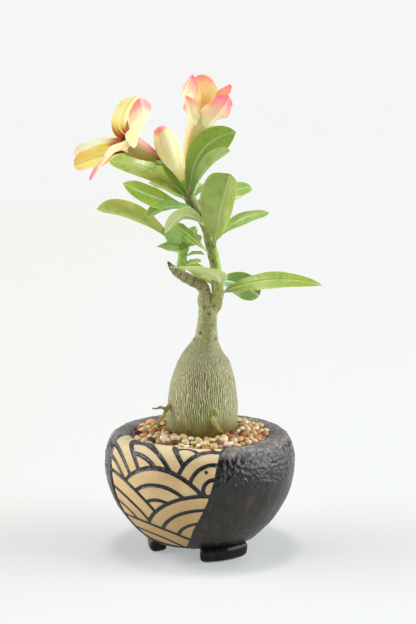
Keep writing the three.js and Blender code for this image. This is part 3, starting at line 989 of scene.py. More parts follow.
@dataclass(frozen=True)
class PebbleStone(Finish):
    """Cream, tan, peach, brown-red and a few dark stones, satin and faintly veined."""

    name: str = "pebble_stone"
    tints: Stops = (
        (0.0, "f6ecca"), (0.14, "fbf4e0"), (0.26, "e9cd8e"), (0.36, "f0c890"), (0.45, "dfa866"),
        (0.53, "f5e2ae"), (0.65, "e3cd8c"), (0.77, "c98a5e"), (0.83, "a9644a"), (0.87, "ecd29c"),
        (0.945, "7c443a"), (0.97, "3a3330"),
    )
    clouds: str = "fff4dd"
    veins: str = "8a5a3a"
    shade: str = "b8925c"
    relief: float = 0.10

    def wire(self, g: Graph) -> None:
        """Wires the tint of each stone, its clouds and its veins.

        Args:
            g: the empty tree.
        """
        tint = g.stored("tint")
        colour = g.ramp(tint, self.tints, Passage.SHARP)
        colour = g.blend(g.noise(2.2, 4.0).step(0.35, 0.75) * 0.35, colour, self.clouds, Mixing.SOFT)
        vein = abs(g.noise(3.0, 2.0, distortion=1.5) - 0.5).step(0.0, 0.06, 1.0, 0.0)
        colour = g.blend(vein * 0.30, colour, self.veins)
        colour = g.blend(g.stored("shade") * 0.5, colour, self.shade, Mixing.DARKER)
        roughness = 0.34 + g.noise(1.0) * 0.25
        g.surface(colour, roughness, g.bump(g.noise(0.7, 4.0), self.relief), Specular_IOR_Level=0.5)


@dataclass(frozen=True)
class SoilAndPaintedGapShade(Finish):
    """Dark soil with crumbs, its darkness partly its own and partly painted shade for the gaps between the
    pebbles.
    """

    name: str = "soil_and_painted_gap_shade"
    tones: Stops = ((0.3, "1d140e"), (0.55, "3a2a1d"), (0.8, "5c4630"))
    roughness: float = 0.9
    relief: float = 0.5

    def wire(self, g: Graph) -> None:
        """Wires the soil.

        Args:
            g: the empty tree.
        """
        crumbs = g.cells(1.4)
        # painted shade: the dark tones also stand for the shade in the gaps between the pebbles
        colour = g.ramp(g.noise(1.8, 5.0), self.tones)
        g.surface(colour, self.roughness, g.bump(crumbs + g.noise(0.8), self.relief), Specular_IOR_Level=0.2)


@dataclass
class Gravel:
    """Rounded pebbles heaped on the soil round the trunk."""

    inner: float = 22.6
    outer: float = 43.0
    trunk_x: float = 1.2
    soil_top: float = 66.3
    bed_at_wall: float = 72.6
    bed_at_trunk: float = 76.8
    lower_count: int = 200
    upper_count: int = 160
    half_length: Pair = (1.8, 3.8)
    shapes: int = 7
    rounds: int = 60
    seed: int = 11
    trunk_gap: float = 2.0
    wall_gap: float = 2.2
    closeness: float = 0.80
    push_share: float = 0.22
    sinking: float = 0.25
    grit_depth: float = 4.0
    tipping: float = 0.5

    def bed_height(self, radius: Array) -> Array:
        """The bed's height at distances from the axis: it rises from the wall to the trunk."""
        return np.interp(radius, [self.inner, self.outer], [self.bed_at_trunk, self.bed_at_wall])

    def models(self, rng: np.random.Generator) -> list[bpy.types.Object]:
        """A few rounded stones of different make, each a ball that is pressed and dented.

        Args:
            rng: the seeded random numbers.

        Returns:
            The stones, of half length 1 and at the origin.
        """
        stones = []
        for number in range(self.shapes):
            stone = primitive(bpy.ops.mesh.primitive_ico_sphere_add, subdivisions=2, radius=1.0)
            points = points_of(stone)
            swell = 1 + 0.26 * wobble(points, 0.9, number + 3.0)
            squeeze = (1.0, rng.uniform(0.70, 0.95), rng.uniform(0.60, 0.85))
            set_points(stone, points * swell[:, None] * squeeze)
            stones.append(stone)
        return stones

    def settle(self, rng: np.random.Generator) -> tuple[Array, Array]:
        """Places for the stones: spread by the golden angle, then pushed apart and down onto the bed.

        Args:
            rng: the seeded random numbers.

        Returns:
            The middles, and each stone's half length.
        """
        count = self.lower_count + self.upper_count
        lower = np.arange(count) < self.lower_count
        size = rng.uniform(*self.half_length, count)
        share = (np.arange(count) % self.lower_count + 0.5) / self.lower_count
        share = np.where(lower, share, rng.uniform(0, 1, count))
        near, far = self.inner + self.trunk_gap, self.outer - self.wall_gap
        radius = np.sqrt(near**2 + share * (far**2 - near**2))
        turn = np.arange(count) * math.pi * GOLDEN_SHARE + rng.uniform(0, 0.3, count)
        bed = self.bed_height(radius)
        layer = np.where(lower, -3.0, 1.5)
        middles = np.column_stack([radius * np.cos(turn), radius * np.sin(turn), bed + layer])
        for _ in range(self.rounds):
            apart = middles[:, None] - middles[None]
            gap = np.linalg.norm(apart, axis=2) + np.eye(count) * FAR_AWAY
            wanted = (size[:, None] + size[None]) * self.closeness
            push = np.clip(wanted - gap, 0, None) / gap
            middles += (apart * push[:, :, None]).sum(axis=1) * self.push_share
            radius = np.hypot(middles[:, 0], middles[:, 1])
            held = np.clip(radius, near, far)
            middles[:, :2] *= (held / radius)[:, None]
            bed = self.bed_height(held)
            middles[:, 2] = np.clip(middles[:, 2] - self.sinking, bed - np.where(lower, 3.5, 0.5), bed + 2.0)
        lean = 1 - (radius - self.inner) / (self.outer - self.inner)
        middles[:, 0] += self.trunk_x * lean
        return middles, size

    def pebbles(self) -> bpy.types.Object:
        """Every pebble, each with its own tint.

        Returns:
            The pebbles as one piece, which keeps `tint` and `shade` from 0 to 1.
        """
        rng = np.random.default_rng(self.seed)
        models = self.models(rng)
        middles, size = self.settle(rng)
        stones = []
        for number, (middle, half) in enumerate(zip(middles, size, strict=True)):
            model = models[number % len(models)]
            stone = model.copy()
            stone.data = model.data.copy()
            bpy.context.scene.collection.objects.link(stone)
            turn = rng.uniform(0, math.pi)
            tilt, lean = rng.uniform(-self.tipping, self.tipping), rng.uniform(-self.tipping, self.tipping)
            tipped = Vector((0, 0, 1)).rotation_difference(Vector((tilt, lean, 1.0))).to_matrix()
            level = [[math.cos(turn), -math.sin(turn), 0], [math.sin(turn), math.cos(turn), 0], [0, 0, 1]]
            spun = np.array(tipped) @ np.array(level)
            set_points(stone, points_of(model) @ spun.T * half + middle)
            store(stone, "tint", rng.uniform())
            store(stone, "shade", rng.uniform())
            stones.append(stone)
        for model in models:
            bpy.data.objects.remove(model)
        return join(stones, "pebbles")

    def bed(self) -> bpy.types.Object:
        """The grit between and under the pebbles, dressed dark as painted shade in their gaps.

        Returns:
            A ring that stands on the soil.
        """
        def place(u: Array, v: Array) -> tuple[Array, Kept]:
            """A closed ring whose section runs round with v.

            Args:
                u: shares round the axis.
                v: shares round the section.

            Returns:
                The points and the numbers kept on them.
            """
            section = np.array([
                (self.inner, self.soil_top), (self.outer, self.soil_top),
                (self.outer, self.bed_at_wall - self.grit_depth),
                (self.inner, self.bed_at_trunk - self.grit_depth), (self.inner, self.soil_top),
            ])
            radius, height = (np.interp(v, np.linspace(0, 1, len(section)), column) for column in section.T)
            turn = 2 * math.pi * u
            return np.column_stack([radius * np.cos(turn), radius * np.sin(turn), height]), {}

        return laid_sheet("grit", 96, 40, place)

    def build(self) -> None:
        """Makes the pebbles and the grit, and dresses the soil under them."""
        soil = SoilAndPaintedGapShade()
        finish_piece(self.pebbles(), PebbleStone(), "gravel")
        # the grit takes the dark soil, which also stands in as painted shade between the pebbles
        finish_piece(self.bed(), soil, "gravel")
        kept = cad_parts["soil"]
        kept.data.materials.clear()
        kept.data.materials.append(soil.material())
        LOG.info("soil: kept, in moist soil")


# ---------------------------------------------------------------------------------------- the plant's parts


LIMB_SAMPLES = 161
TUBE_SAMPLES = 121
END_BULGE = 0.5
YOUNG = 0.8


@dataclass(frozen=True)
class Ribs:
    """Ribs that run along a limb and turn round it. Their height is a share of the limb's radius."""

    count: int = 5
    height: float = 0.0
    twist: float = 0.0
    fullness: float = 0.7


def limb(
    name: str, sections: Sequence[Section], columns: int, rows: int, end: float = 0.03, ribs: Ribs = Ribs(),
) -> bpy.types.Object:
    """A closed round limb through sections, with rounded ends.

    Args:
        name: the new piece's name.
        sections: rows of x, y, z and radius.
        columns: faces round it.
        rows: faces along it.
        end: the share of the rows that rounds each end.
        ribs: what stands proud of it.

    Returns:
        The limb. It keeps `along` from 0 to 1, `upward` from -1 below to 1 above, and `ribbed` from -1 to 1.
    """
    def place(u: Array, v: Array) -> tuple[Array, Kept]:
        """Rings round the line, which close at both ends.

        Args:
            u: shares round the limb.
            v: shares along it.

        Returns:
            The points and the numbers kept on them.
        """
        share = np.clip((v - end) / (1 - 2 * end), 0, 1)
        ring, across, other = swept(sections, share, LIMB_SAMPLES)
        closing = np.clip(np.minimum(v, 1 - v) / end, 0, 1)
        radius = ring[:, 3] * np.sin(closing * math.pi / 2)
        along = np.cross(across, other)
        beyond = ring[:, 3] * END_BULGE * np.cos(closing * math.pi / 2) * np.where(v < 0.5, -1, 1)
        turn = 2 * math.pi * u
        out = across * np.cos(turn)[:, None] + other * np.sin(turn)[:, None]
        phase = (ribs.count * turn - ribs.twist * share) / 2
        ribbed = 2 * np.abs(np.cos(phase)) ** ribs.fullness - 1
        radius = radius * (1 + ribs.height * ribbed)
        points = ring[:, :3] + out * radius[:, None] + along * beyond[:, None]
        return points, {"along": share, "upward": out[:, 2], "ribbed": ribbed}

    return laid_sheet(name, columns, rows, place)


@dataclass(frozen=True)
class Blade:
    """One leaf or petal: its midrib's start, middle and tip, the way its upper face looks, and its outline.

    Tone runs from 0, deep, to 1, pale. Warmth runs from 0, bluish, to 1, yellowish. A petal reads them as the
    depth of its yellow and the amount of its pink.
    """

    base: Point
    via: Point
    tip: Point
    face: Point
    width: float
    tone: float = 0.5
    warmth: float = 0.5
    face_at_tip: Point | None = None
    fullest: float = 0.64
    blunt: float = 0.5
    stalk: float = 2.0
    neck: float = 0.06
    fold: float = 0.12
    rib: float = 1.3
    thick: float = 0.55
    wave: float = 0.25
    lean: float = 0.0
    wrap: float = 0.0
    columns: int = 48
    rows: int = 44
    tip_crowding: float = 1.3
    edge_crowding: float = 1.2
    base_closing: float = 0.02
    waves: float = 15.0
    full_from: float = 2.0
    groove: float = 0.35
    groove_width: float = 0.7
    keel_width: float = 0.9
    keel_at_tip: float = 0.5
    upper_share: float = 0.45
    vein_slope: float = 0.55

    def midrib(self, t: Array) -> tuple[Array, Array]:
        """The midrib, a bow through its start, middle and tip.

        Args:
            t: shares of it.

        Returns:
            Its points and directions there.
        """
        base, via, tip = (np.array(point, float) for point in (self.base, self.via, self.tip))
        control = 2 * via - (base + tip) / 2
        s = t[:, None]
        points = (1 - s) ** 2 * base + 2 * s * (1 - s) * control + s**2 * tip
        return points, unit(2 * (1 - s) * (control - base) + 2 * s * (tip - control))

    def half_width(self, t: Array) -> Array:
        """Half the blade's width, which ends in a point at the tip.

        Args:
            t: shares of the midrib.

        Returns:
            The distance from the midrib to the edge at each.
        """
        swell = self.blunt * (self.fullest - self.neck) / (1 - self.fullest)
        rise = np.maximum(t - self.neck, 0) / (self.fullest - self.neck)
        shape = rise**swell * ((1 - t) / (1 - self.fullest)) ** self.blunt
        half = self.stalk / 2 + (self.width / 2 - self.stalk / 2) * shape - self.stalk / 2 * t**4
        return np.maximum(half, 0) * (1 - t**60)

    def build(self, name: str) -> bpy.types.Object:
        """The blade as a thin closed sheet with a grooved upper face and a keel below.

        Args:
            name: the new piece's name.

        Returns:
            The blade. It keeps `across` from -1 to 1, `along` from 0 to 1, `upper` from -1 under it to 1 on
            it, `offset` from the midrib and `vein` in millimetres, and its tone and warmth.
        """
        def place(u: Array, v: Array) -> tuple[Array, Kept]:
            """The section runs over the upper face and back under it.

            Args:
                u: shares round the section.
                v: shares of the midrib.

            Returns:
                The points and the numbers kept on them.
            """
            t = 1 - (1 - v) ** self.tip_crowding
            middle, along = self.midrib(t)
            end_face = unit(self.face_at_tip or self.face)
            up = unit(self.face) * (1 - t[:, None]) + end_face * t[:, None]
            side = unit(np.cross(along, up))
            normal = np.cross(side, along)
            swing = -np.cos(2 * math.pi * u)
            upper = np.sin(2 * math.pi * u)
            across = np.sign(swing) * np.abs(swing) ** self.edge_crowding
            closing = np.clip(v / self.base_closing, 0, 1) ** 0.5
            half = self.half_width(t) * closing
            offset = across * half * (1 + self.lean * np.sign(across))
            thin = np.clip(half / self.full_from, 0, 1)
            lift = self.fold * half * np.abs(across) ** 1.6
            lift += self.wave * thin * across**2 * np.sin(self.waves * t + 2.2 * np.sign(across) + self.width)
            if self.wrap:
                lift += offset**2 / (2 * self.wrap) * (1 - smooth_step(0.1, 0.45, t))
            body = np.abs(upper) ** 0.7 * self.thick * thin
            groove = self.groove * np.exp(-(offset / self.groove_width) ** 2) * thin
            keel = self.rib + (self.keel_at_tip - self.rib) * t**2
            keel = keel * np.exp(-(offset / self.keel_width) ** 2) * thin
            above = self.upper_share * body - groove * upper
            below = (self.upper_share - 1) * body + keel * upper
            height = lift + np.where(upper > 0, above, below)
            points = middle + side * offset[:, None] + normal * height[:, None]
            length = np.linalg.norm(np.subtract(self.tip, self.base))
            kept = {
                "across": across, "along": t, "upper": upper, "offset": offset,
                "vein": t * length - np.abs(offset) * self.vein_slope,
                "tone": np.full(len(t), self.tone), "warmth": np.full(len(t), self.warmth),
            }
            return points, kept

        return laid_sheet(name, self.columns, self.rows, place)


def blades(name: str, shapes: Sequence[Blade]) -> bpy.types.Object:
    """Several blades as one piece."""
    return join([shape.build(f"{name}_{number}") for number, shape in enumerate(shapes)], name)


def mark_spots(piece: bpy.types.Object, spots: Sequence[Section]) -> None:
    """Keeps `spot`, 1 in the middle of blemishes and 0 away from them.

    Args:
        piece: the piece.
        spots: rows of x, y, z and radius.
    """
    points = points_of(piece)
    value = np.zeros(len(points))
    for x, y, z, radius in spots:
        away = np.linalg.norm(points - (x, y, z), axis=1)
        value = np.maximum(value, 1 - smooth_step(radius * 0.35, radius, away))
    store(piece, "spot", value)


# ---------------------------------------------------------------------------------------- the trunk


@dataclass(frozen=True)
class Bark(Finish):
    """Pale grey-green skin in a fine upright net over olive, yellower near the gravel."""

    name: str = "desert_rose_bark"
    axis_x: float = 1.2
    ridges: float = 96.0
    sway: float = 18.0
    valley: Stops = ((0.3, "564f26"), (0.5, "605d2c"), (0.7, "5e6834"))
    skin: Stops = ((0.3, "dcd4a2"), (0.5, "e2deae"), (0.7, "d8e0a8"))
    low_tone: str = "7e7a12"
    lowest_tone: str = "5e4c00"
    neck: Stops = ((0.3, "787a46"), (0.5, "90925e"), (0.72, "b0b282"))
    branch: Stops = ((0.3, "6f6240"), (0.5, "94865c"), (0.72, "b8ae86"))
    shoot_tone: str = "a3ab50"
    # the rootlets' own olive, lightened as painted highlight
    rootlets_and_painted_highlight: Stops = ((0.3, "857d36"), (0.7, "bcb668"))
    scar_tone: str = "5b4530"
    dead_tone: str = "4d4038"
    sheen_tint: Tint = (1.0, 0.96, 0.70, 1.0)
    relief: float = 0.25

    def wire(self, g: Graph) -> None:
        """Wires the net of ridges, then the tones from the foot up.

        Args:
            g: the empty tree.
        """
        height = g.axis("Z")
        swollen = height.step(120, 136, 1.0, 0.0)
        rootlet = g.stored("rootlet")
        turn = g.axis("Y").turn_from(g.axis("X") - self.axis_x)
        sway = (g.noise(3.6, 2.0, g.stretched(1.0, 1.0, 0.5)) - 0.5) * self.sway
        fine = g.noise(0.7, 3.0, g.stretched(1.0, 1.0, 0.30))
        broken = g.noise(1.5, 2.0, g.stretched(1.0, 1.0, 0.5)) - 0.5
        ridge = ((turn * self.ridges + sway).sine() + (fine - 0.5) * 1.2 + broken * 2.4).step(-0.2, 0.9)
        patches = g.noise(13.0, 3.0)
        valley = g.ramp(patches, self.valley)
        skin = g.ramp(patches, self.skin)
        low = (height + (patches - 0.5) * 14.0).step(76, 94, 1.0, 0.0)
        colour = g.blend(ridge * (0.66 - low * 0.4) + 0.10 + low * 0.18, valley, skin)
        colour = g.blend(low * 0.74, colour, self.low_tone)
        lowest = (height + (patches - 0.5) * 8.0).step(75, 88, 1.0, 0.0)
        colour = g.blend(lowest * 0.9, colour, self.lowest_tone)
        speckled = g.noise(1.0, 4.0, g.stretched(1.0, 1.0, 0.6))
        colour = g.blend(1.0 - swollen, colour, g.ramp(speckled, self.neck))
        branch = height.step(158, 165) * g.axis("X").step(3.0, 5.5, 1.0, 0.0)
        colour = g.blend(branch * 0.8, colour, g.ramp(speckled, self.branch))
        shoot = height.step(151, 159) * g.axis("X").step(5.0, 8.0)
        colour = g.blend(shoot * 0.85, colour, self.shoot_tone)
        # painted highlight: the rootlets are painted lighter than their own olive, standing in for the light
        # on their tops
        colour = g.blend(rootlet * 0.9, colour, g.ramp(fine, self.rootlets_and_painted_highlight))
        colour = g.blend(g.stored("scar") * 0.8, colour, self.scar_tone)
        colour = g.blend(g.stored("dead"), colour, self.dead_tone)
        relief = ridge * swollen * (0.9 - low * 0.5) + speckled * (1.1 - swollen * 0.8)
        g.surface(
            colour, 0.62 - ridge * 0.12, g.bump(relief, self.relief), Specular_IOR_Level=0.3,
            Sheen_Weight=0.9, Sheen_Roughness=0.35, Sheen_Tint=self.sheen_tint, Subsurface_Weight=0.06,
            Subsurface_Scale=0.003,
        )


@dataclass
class Trunk:
    """The swollen trunk with its neck, fork, side branch and small roots, grown as one."""

    profile: tuple[Point, ...] = (
        (50, 1.2, 17), (57, 1.2, 20.6), (66, 1.2, 22.2), (75, 1.2, 22.5), (84, 1.4, 22.4), (92, 1.6, 22),
        (99, 1.9, 21.2), (106, 2.1, 20), (112.5, 2.4, 18.5), (118, 2.5, 16.5), (122, 2.6, 14.3),
        (126, 3, 11.6), (130, 3.5, 9.1), (134, 4, 7.4), (139.5, 4.3, 6.5), (146, 4.8, 6), (152, 5, 6),
    )
    main_stump: tuple[Section, ...] = (
        (4.8, 0, 147, 5.4), (5, 0, 151, 5.4), (8, 0, 152.6, 4.7), (10, -0.1, 155, 4),
        (10.6, -0.4, 158.6, 3.6), (10.8, -0.5, 160, 3.4),
    )
    side_branch: tuple[Section, ...] = (
        (4.8, 0, 147, 5.4), (5, 0, 151, 5.4), (2.6, 0, 157, 4.2), (3.0, -0.4, 162.6, 3.8),
        (1.0, -1, 166.6, 3.8), (-5.3, -2, 170, 3.5), (-12, -3.6, 173.8, 3.1), (-16.6, -5, 177.8, 2.3),
        (-18.6, -5.2, 180.5, 1.2), (-19.9, -5.2, 182.2, 0.5),
    )
    roots: tuple[tuple[Section, ...], ...] = (
        ((-14, -5, 97, 2.0), (-16.5, -7.5, 95.0, 2.2), (-19.8, -10.5, 91.4, 1.5), (-23.4, -14.5, 86.2, 1.0),
         (-28, -17, 82.3, 0.8), (-31.5, -18.5, 80.5, 0.5)),
        ((-18.5, -9, 92.5, 1.2), (-22, -11.5, 91.2, 0.9), (-24.3, -12.7, 92.2, 1.0), (-27, -13.7, 91.5, 0.8),
         (-29.5, -14.5, 92.0, 0.6)),
        ((5.2, -19, 89.6, 1.4), (7.4, -21.8, 87.4, 1.1), (10, -23.8, 83.8, 0.9), (14.8, -26, 79.0, 0.5)),
        ((7.6, -18.6, 87, 1.2), (9.8, -22.4, 83.4, 0.9), (13.2, -24.6, 79, 0.5)),
        ((7.2, -17.5, 92.4, 1.8), (8.2, -21.4, 92.6, 1.5), (10.4, -22.0, 91.2, 1.0), (10.8, -21.6, 89.6, 0.6)),
    )
    scars: tuple[Section, ...] = (
        (5.7, -6, 149.5, 1.8), (7.8, -5.6, 142.5, 1.5), (0.8, -5.6, 137.8, 1.6), (-3.2, -3.8, 133.2, 1.7),
        (9.6, -4.6, 133.8, 2.0), (-10.6, -8.6, 123.4, 1.2), (4.6, -3.9, 164.4, 1.8), (5.6, -3.6, 162.0, 1.4),
        (6.5, -21, 88.6, 1.6), (-8, -21.2, 78.6, 1.2), (14.5, -18, 76.5, 1.4), (12.8, -3.2, 156.4, 1.0),
        (8.6, -4.4, 154.2, 1.5), (2.6, -5, 153.5, 1.5),
    )
    branch_rings: tuple[Point, ...] = (
        (0.2, -1, 167), (-4.5, -2, 169.6), (-8.5, -2.6, 172), (-12.5, -3.8, 174.2), (-15.5, -4.6, 176.8),
    )
    branch_heading: Point = (-1.0, -0.2, 0.55)
    branch_reach: float = 5.5
    ring_width: float = 0.5
    ring_height: float = 0.22
    scar_lip: float = 0.35
    scar_depth: float = 0.45
    shoulder_span: Pair = (118, 134)
    neck_span: Pair = (120, 135)
    foot_span: Pair = (74, 86)
    dead_from: Pair = (-17.2, -18.8)
    dead_above: Pair = (174, 178)
    foot_ribs: int = 7
    foot_rib_height: float = 0.55
    voxel: float = 0.55

    def body(self) -> bpy.types.Object:
        """The trunk and all its limbs, melted into one skin.

        Returns:
            The smooth trunk.
        """
        lines = [tuple((x, 0.0, height, radius) for height, x, radius in self.profile)]
        lines += [self.main_stump, self.side_branch, *self.roots]
        pieces = [limb(f"limb_{number}", line, 64, 90) for number, line in enumerate(lines)]
        whole = join(pieces, "trunk")
        apply_modifier(whole, "REMESH", mode="VOXEL", voxel_size=self.voxel, adaptivity=0.0)
        apply_modifier(whole, "SMOOTH", factor=0.5, iterations=4)
        return whole

    def skin(self, whole: bpy.types.Object) -> None:
        """Makes the lumps, wrinkles, leaf scars and the branch's rings.

        Args:
            whole: the smooth trunk, which keeps `scar`, `dead` and `rootlet`, from 0 to 1.
        """
        points = points_of(whole)
        normals = normals_of(whole)
        swollen = 1 - smooth_step(*self.shoulder_span, points[:, 2])
        lumps = wobble(points, 11.0) * 0.5 * swollen + wobble(points * (1, 1, 0.35), 3.0, 3.0) * 0.14
        neck = smooth_step(*self.neck_span, points[:, 2])
        lumps += wobble(points, 3.4, 5.0) * 0.22 * neck
        foot = (1 - smooth_step(*self.foot_span, points[:, 2])) * swollen
        turn = np.arctan2(points[:, 1], points[:, 0])
        lumps += foot * self.foot_rib_height * np.sin(self.foot_ribs * turn + 3 * wobble(points, 14.0, 6.0))
        scar = np.zeros(len(points))
        for x, y, z, radius in self.scars:
            away = np.linalg.norm((points - (x, y, z)) * (1, 1, 1.5), axis=1)
            scar = np.maximum(scar, 1 - smooth_step(radius * 0.35, radius, away))
            lip = np.exp(-(((away - radius) / 0.6) ** 2))
            lumps += self.scar_lip * lip - self.scar_depth * (1 - smooth_step(0, radius, away))
        ring = np.zeros(len(points))
        along = unit(self.branch_heading)
        for middle in self.branch_rings:
            gap = np.abs((points - middle) @ along)
            near = np.linalg.norm(points - middle, axis=1) < self.branch_reach
            ring = np.maximum(ring, near * np.exp(-((gap / self.ring_width) ** 2)))
        lumps += ring * self.ring_height
        dead_end = smooth_step(*self.dead_from, points[:, 0]) * smooth_step(*self.dead_above, points[:, 2])
        rootlet = np.zeros(len(points))
        for line in self.roots:
            for x, y, z, radius in spline(line, np.linspace(0.15, 1, 24)):
                away = np.linalg.norm(points - (x, y, z), axis=1)
                rootlet = np.maximum(rootlet, 1 - smooth_step(radius * 1.1, radius * 1.5, away))
        set_points(whole, points + normals * lumps[:, None])
        store(whole, "scar", np.maximum(scar, ring * 0.65))
        store(whole, "dead", dead_end)
        store(whole, "rootlet", rootlet * swollen)

    def build(self) -> None:
        """Makes the trunk."""
        whole = self.body()
        self.skin(whole)
        finish_piece(whole, Bark(), "caudex")


# ---------------------------------------------------------------------------------------- stems and leaves


@dataclass(frozen=True)
class LeafSkin(Finish):
    """Smooth leathery leaf: pale midrib and margin, faint side veins, paler and duller underneath."""

    name: str = "adenium_leaf"
    cool: Stops = ((0.1, "447c36"), (0.5, "84b862"), (0.9, "bae8a6"))
    warm: Stops = ((0.1, "4e8420"), (0.5, "8fb03a"), (0.9, "cbdc72"))
    deep_base: str = "63a630"
    underside: str = "cdd9a4"
    side_veins: str = "d5dda6"
    vein_spacing: float = 3.8
    midrib: str = "dde2ac"
    margin: str = "dbe08f"
    dry_tip: str = "a08c45"
    blemish: str = "b4703a"
    flecks: str = "eef2cf"
    relief: float = 0.22

    def wire(self, g: Graph) -> None:
        """Wires the greens, then the veins, the edge and the blemishes.

        Args:
            g: the empty tree.
        """
        tone = g.stored("tone")
        warmth = g.stored("warmth")
        across, along, upper = g.stored("across"), g.stored("along"), g.stored("upper")
        offset, vein = abs(g.stored("offset")), g.stored("vein")
        cloud = g.noise(6.0, 3.0)
        depth = tone + (cloud - 0.5) * 0.35 - along.step(0.3, 1.0) * 0.08
        cool = g.ramp(depth, self.cool)
        warm = g.ramp(depth, self.warm)
        colour = g.blend(warmth, cool, warm)
        deep_base = along.step(0.0, 0.35, 1.0, 0.0)
        colour = g.blend(deep_base * 0.4, colour, self.deep_base)
        fine = g.noise(0.9, 3.0)
        under = upper.step(-0.25, 0.0, 1.0, 0.0)
        colour = g.blend(under * 0.5, colour, self.underside)
        side_vein = ((vein + (g.noise(5.0) - 0.5) * 1.6) * (2 * math.pi / self.vein_spacing)).sine()
        side_vein = side_vein.step(0.72, 1.0) * abs(across).step(0.55, 0.95, 1.0, 0.0)
        colour = g.blend(side_vein * 0.09, colour, self.side_veins)
        midrib = (offset + along * 0.25).step(0.45, 0.85, 1.0, 0.0)
        colour = g.blend(midrib * (0.85 - along * 0.4), colour, self.midrib)
        margin = abs(across).step(0.93, 0.985)
        colour = g.blend(margin * 0.6, colour, self.margin)
        tip = along.step(0.965, 1.0)
        colour = g.blend(tip * 0.5, colour, self.dry_tip)
        spot = (g.stored("spot") + (fine - 0.5) * 0.7).step(0.45, 0.7)
        colour = g.blend(spot * 0.85, colour, self.blemish)
        flecks = g.noise(2.6, 5.0).step(0.70, 0.78)
        colour = g.blend(flecks * 0.25, colour, self.flecks)
        roughness = 0.30 + under * 0.22 + (cloud - 0.5) * 0.25 + spot * 0.2
        relief = midrib * -0.8 + side_vein * -0.15 + fine * 0.12
        g.surface(
            colour, roughness, g.bump(relief, self.relief), Specular_IOR_Level=0.45, Subsurface_Weight=0.25,
            Subsurface_Scale=0.0025,
        )


@dataclass(frozen=True)
class StemSkin(Finish):
    """Fleshy stem: bright yellow-green where young and, as painted light, on the side that faces the light
    from the right; olive and speckled where old, brown leaf scars.
    """

    name: str = "green_stem"
    old: Stops = ((0.3, "70753a"), (0.5, "93994f"), (0.72, "b6ba7a"))
    young: Stops = ((0.3, "7fa63c"), (0.7, "a6c75c"))
    high_tone: str = "6e6a42"
    ring_tone: str = "8a7a4c"
    ring_spacing: float = 5.5
    scar_tone: str = "54423a"
    relief: float = 0.25

    def wire(self, g: Graph) -> None:
        """Wires the old and the young skin, its rings and its scars.

        Args:
            g: the empty tree.
        """
        height = g.axis("Z")
        speckled = g.noise(1.0, 4.0, g.stretched(1.0, 1.0, 0.5))
        old = g.ramp(speckled, self.old)
        young = g.ramp(speckled, self.young)
        # painted light: from 166 to 208 mm the side of the main stem that faces +X, towards the light from the
        # right, is painted young yellow-green
        facing_right_light = g.axis("X", g.node("ShaderNodeNewGeometry", output="Normal"))
        youth = facing_right_light.step(-0.1, 0.7) * height.step(166, 180) * height.step(196, 208, 1.0, 0.0)
        youth = youth.higher(g.stored("tone"))
        colour = g.blend(youth * 0.9, old, young)
        colour = g.blend(height.step(196, 214) * 0.4 * (1.0 - g.stored("tone")), colour, self.high_tone)
        rings = (height * (2 * math.pi / self.ring_spacing) + g.noise(4.0) * 5.0).sine().step(0.93, 1.0)
        colour = g.blend(rings * 0.35, colour, self.ring_tone)
        scar = (g.stored("spot") + (speckled - 0.5) * 0.5).step(0.3, 0.6)
        colour = g.blend(scar * 0.9, colour, self.scar_tone)
        relief = speckled * 0.6 - rings * 0.3 - scar * 0.6
        g.surface(
            colour, 0.5, g.bump(relief, self.relief), Specular_IOR_Level=0.4, Subsurface_Weight=0.1,
            Subsurface_Scale=0.003,
        )


LEAF_SKIN = LeafSkin()
STEM_SKIN = StemSkin()


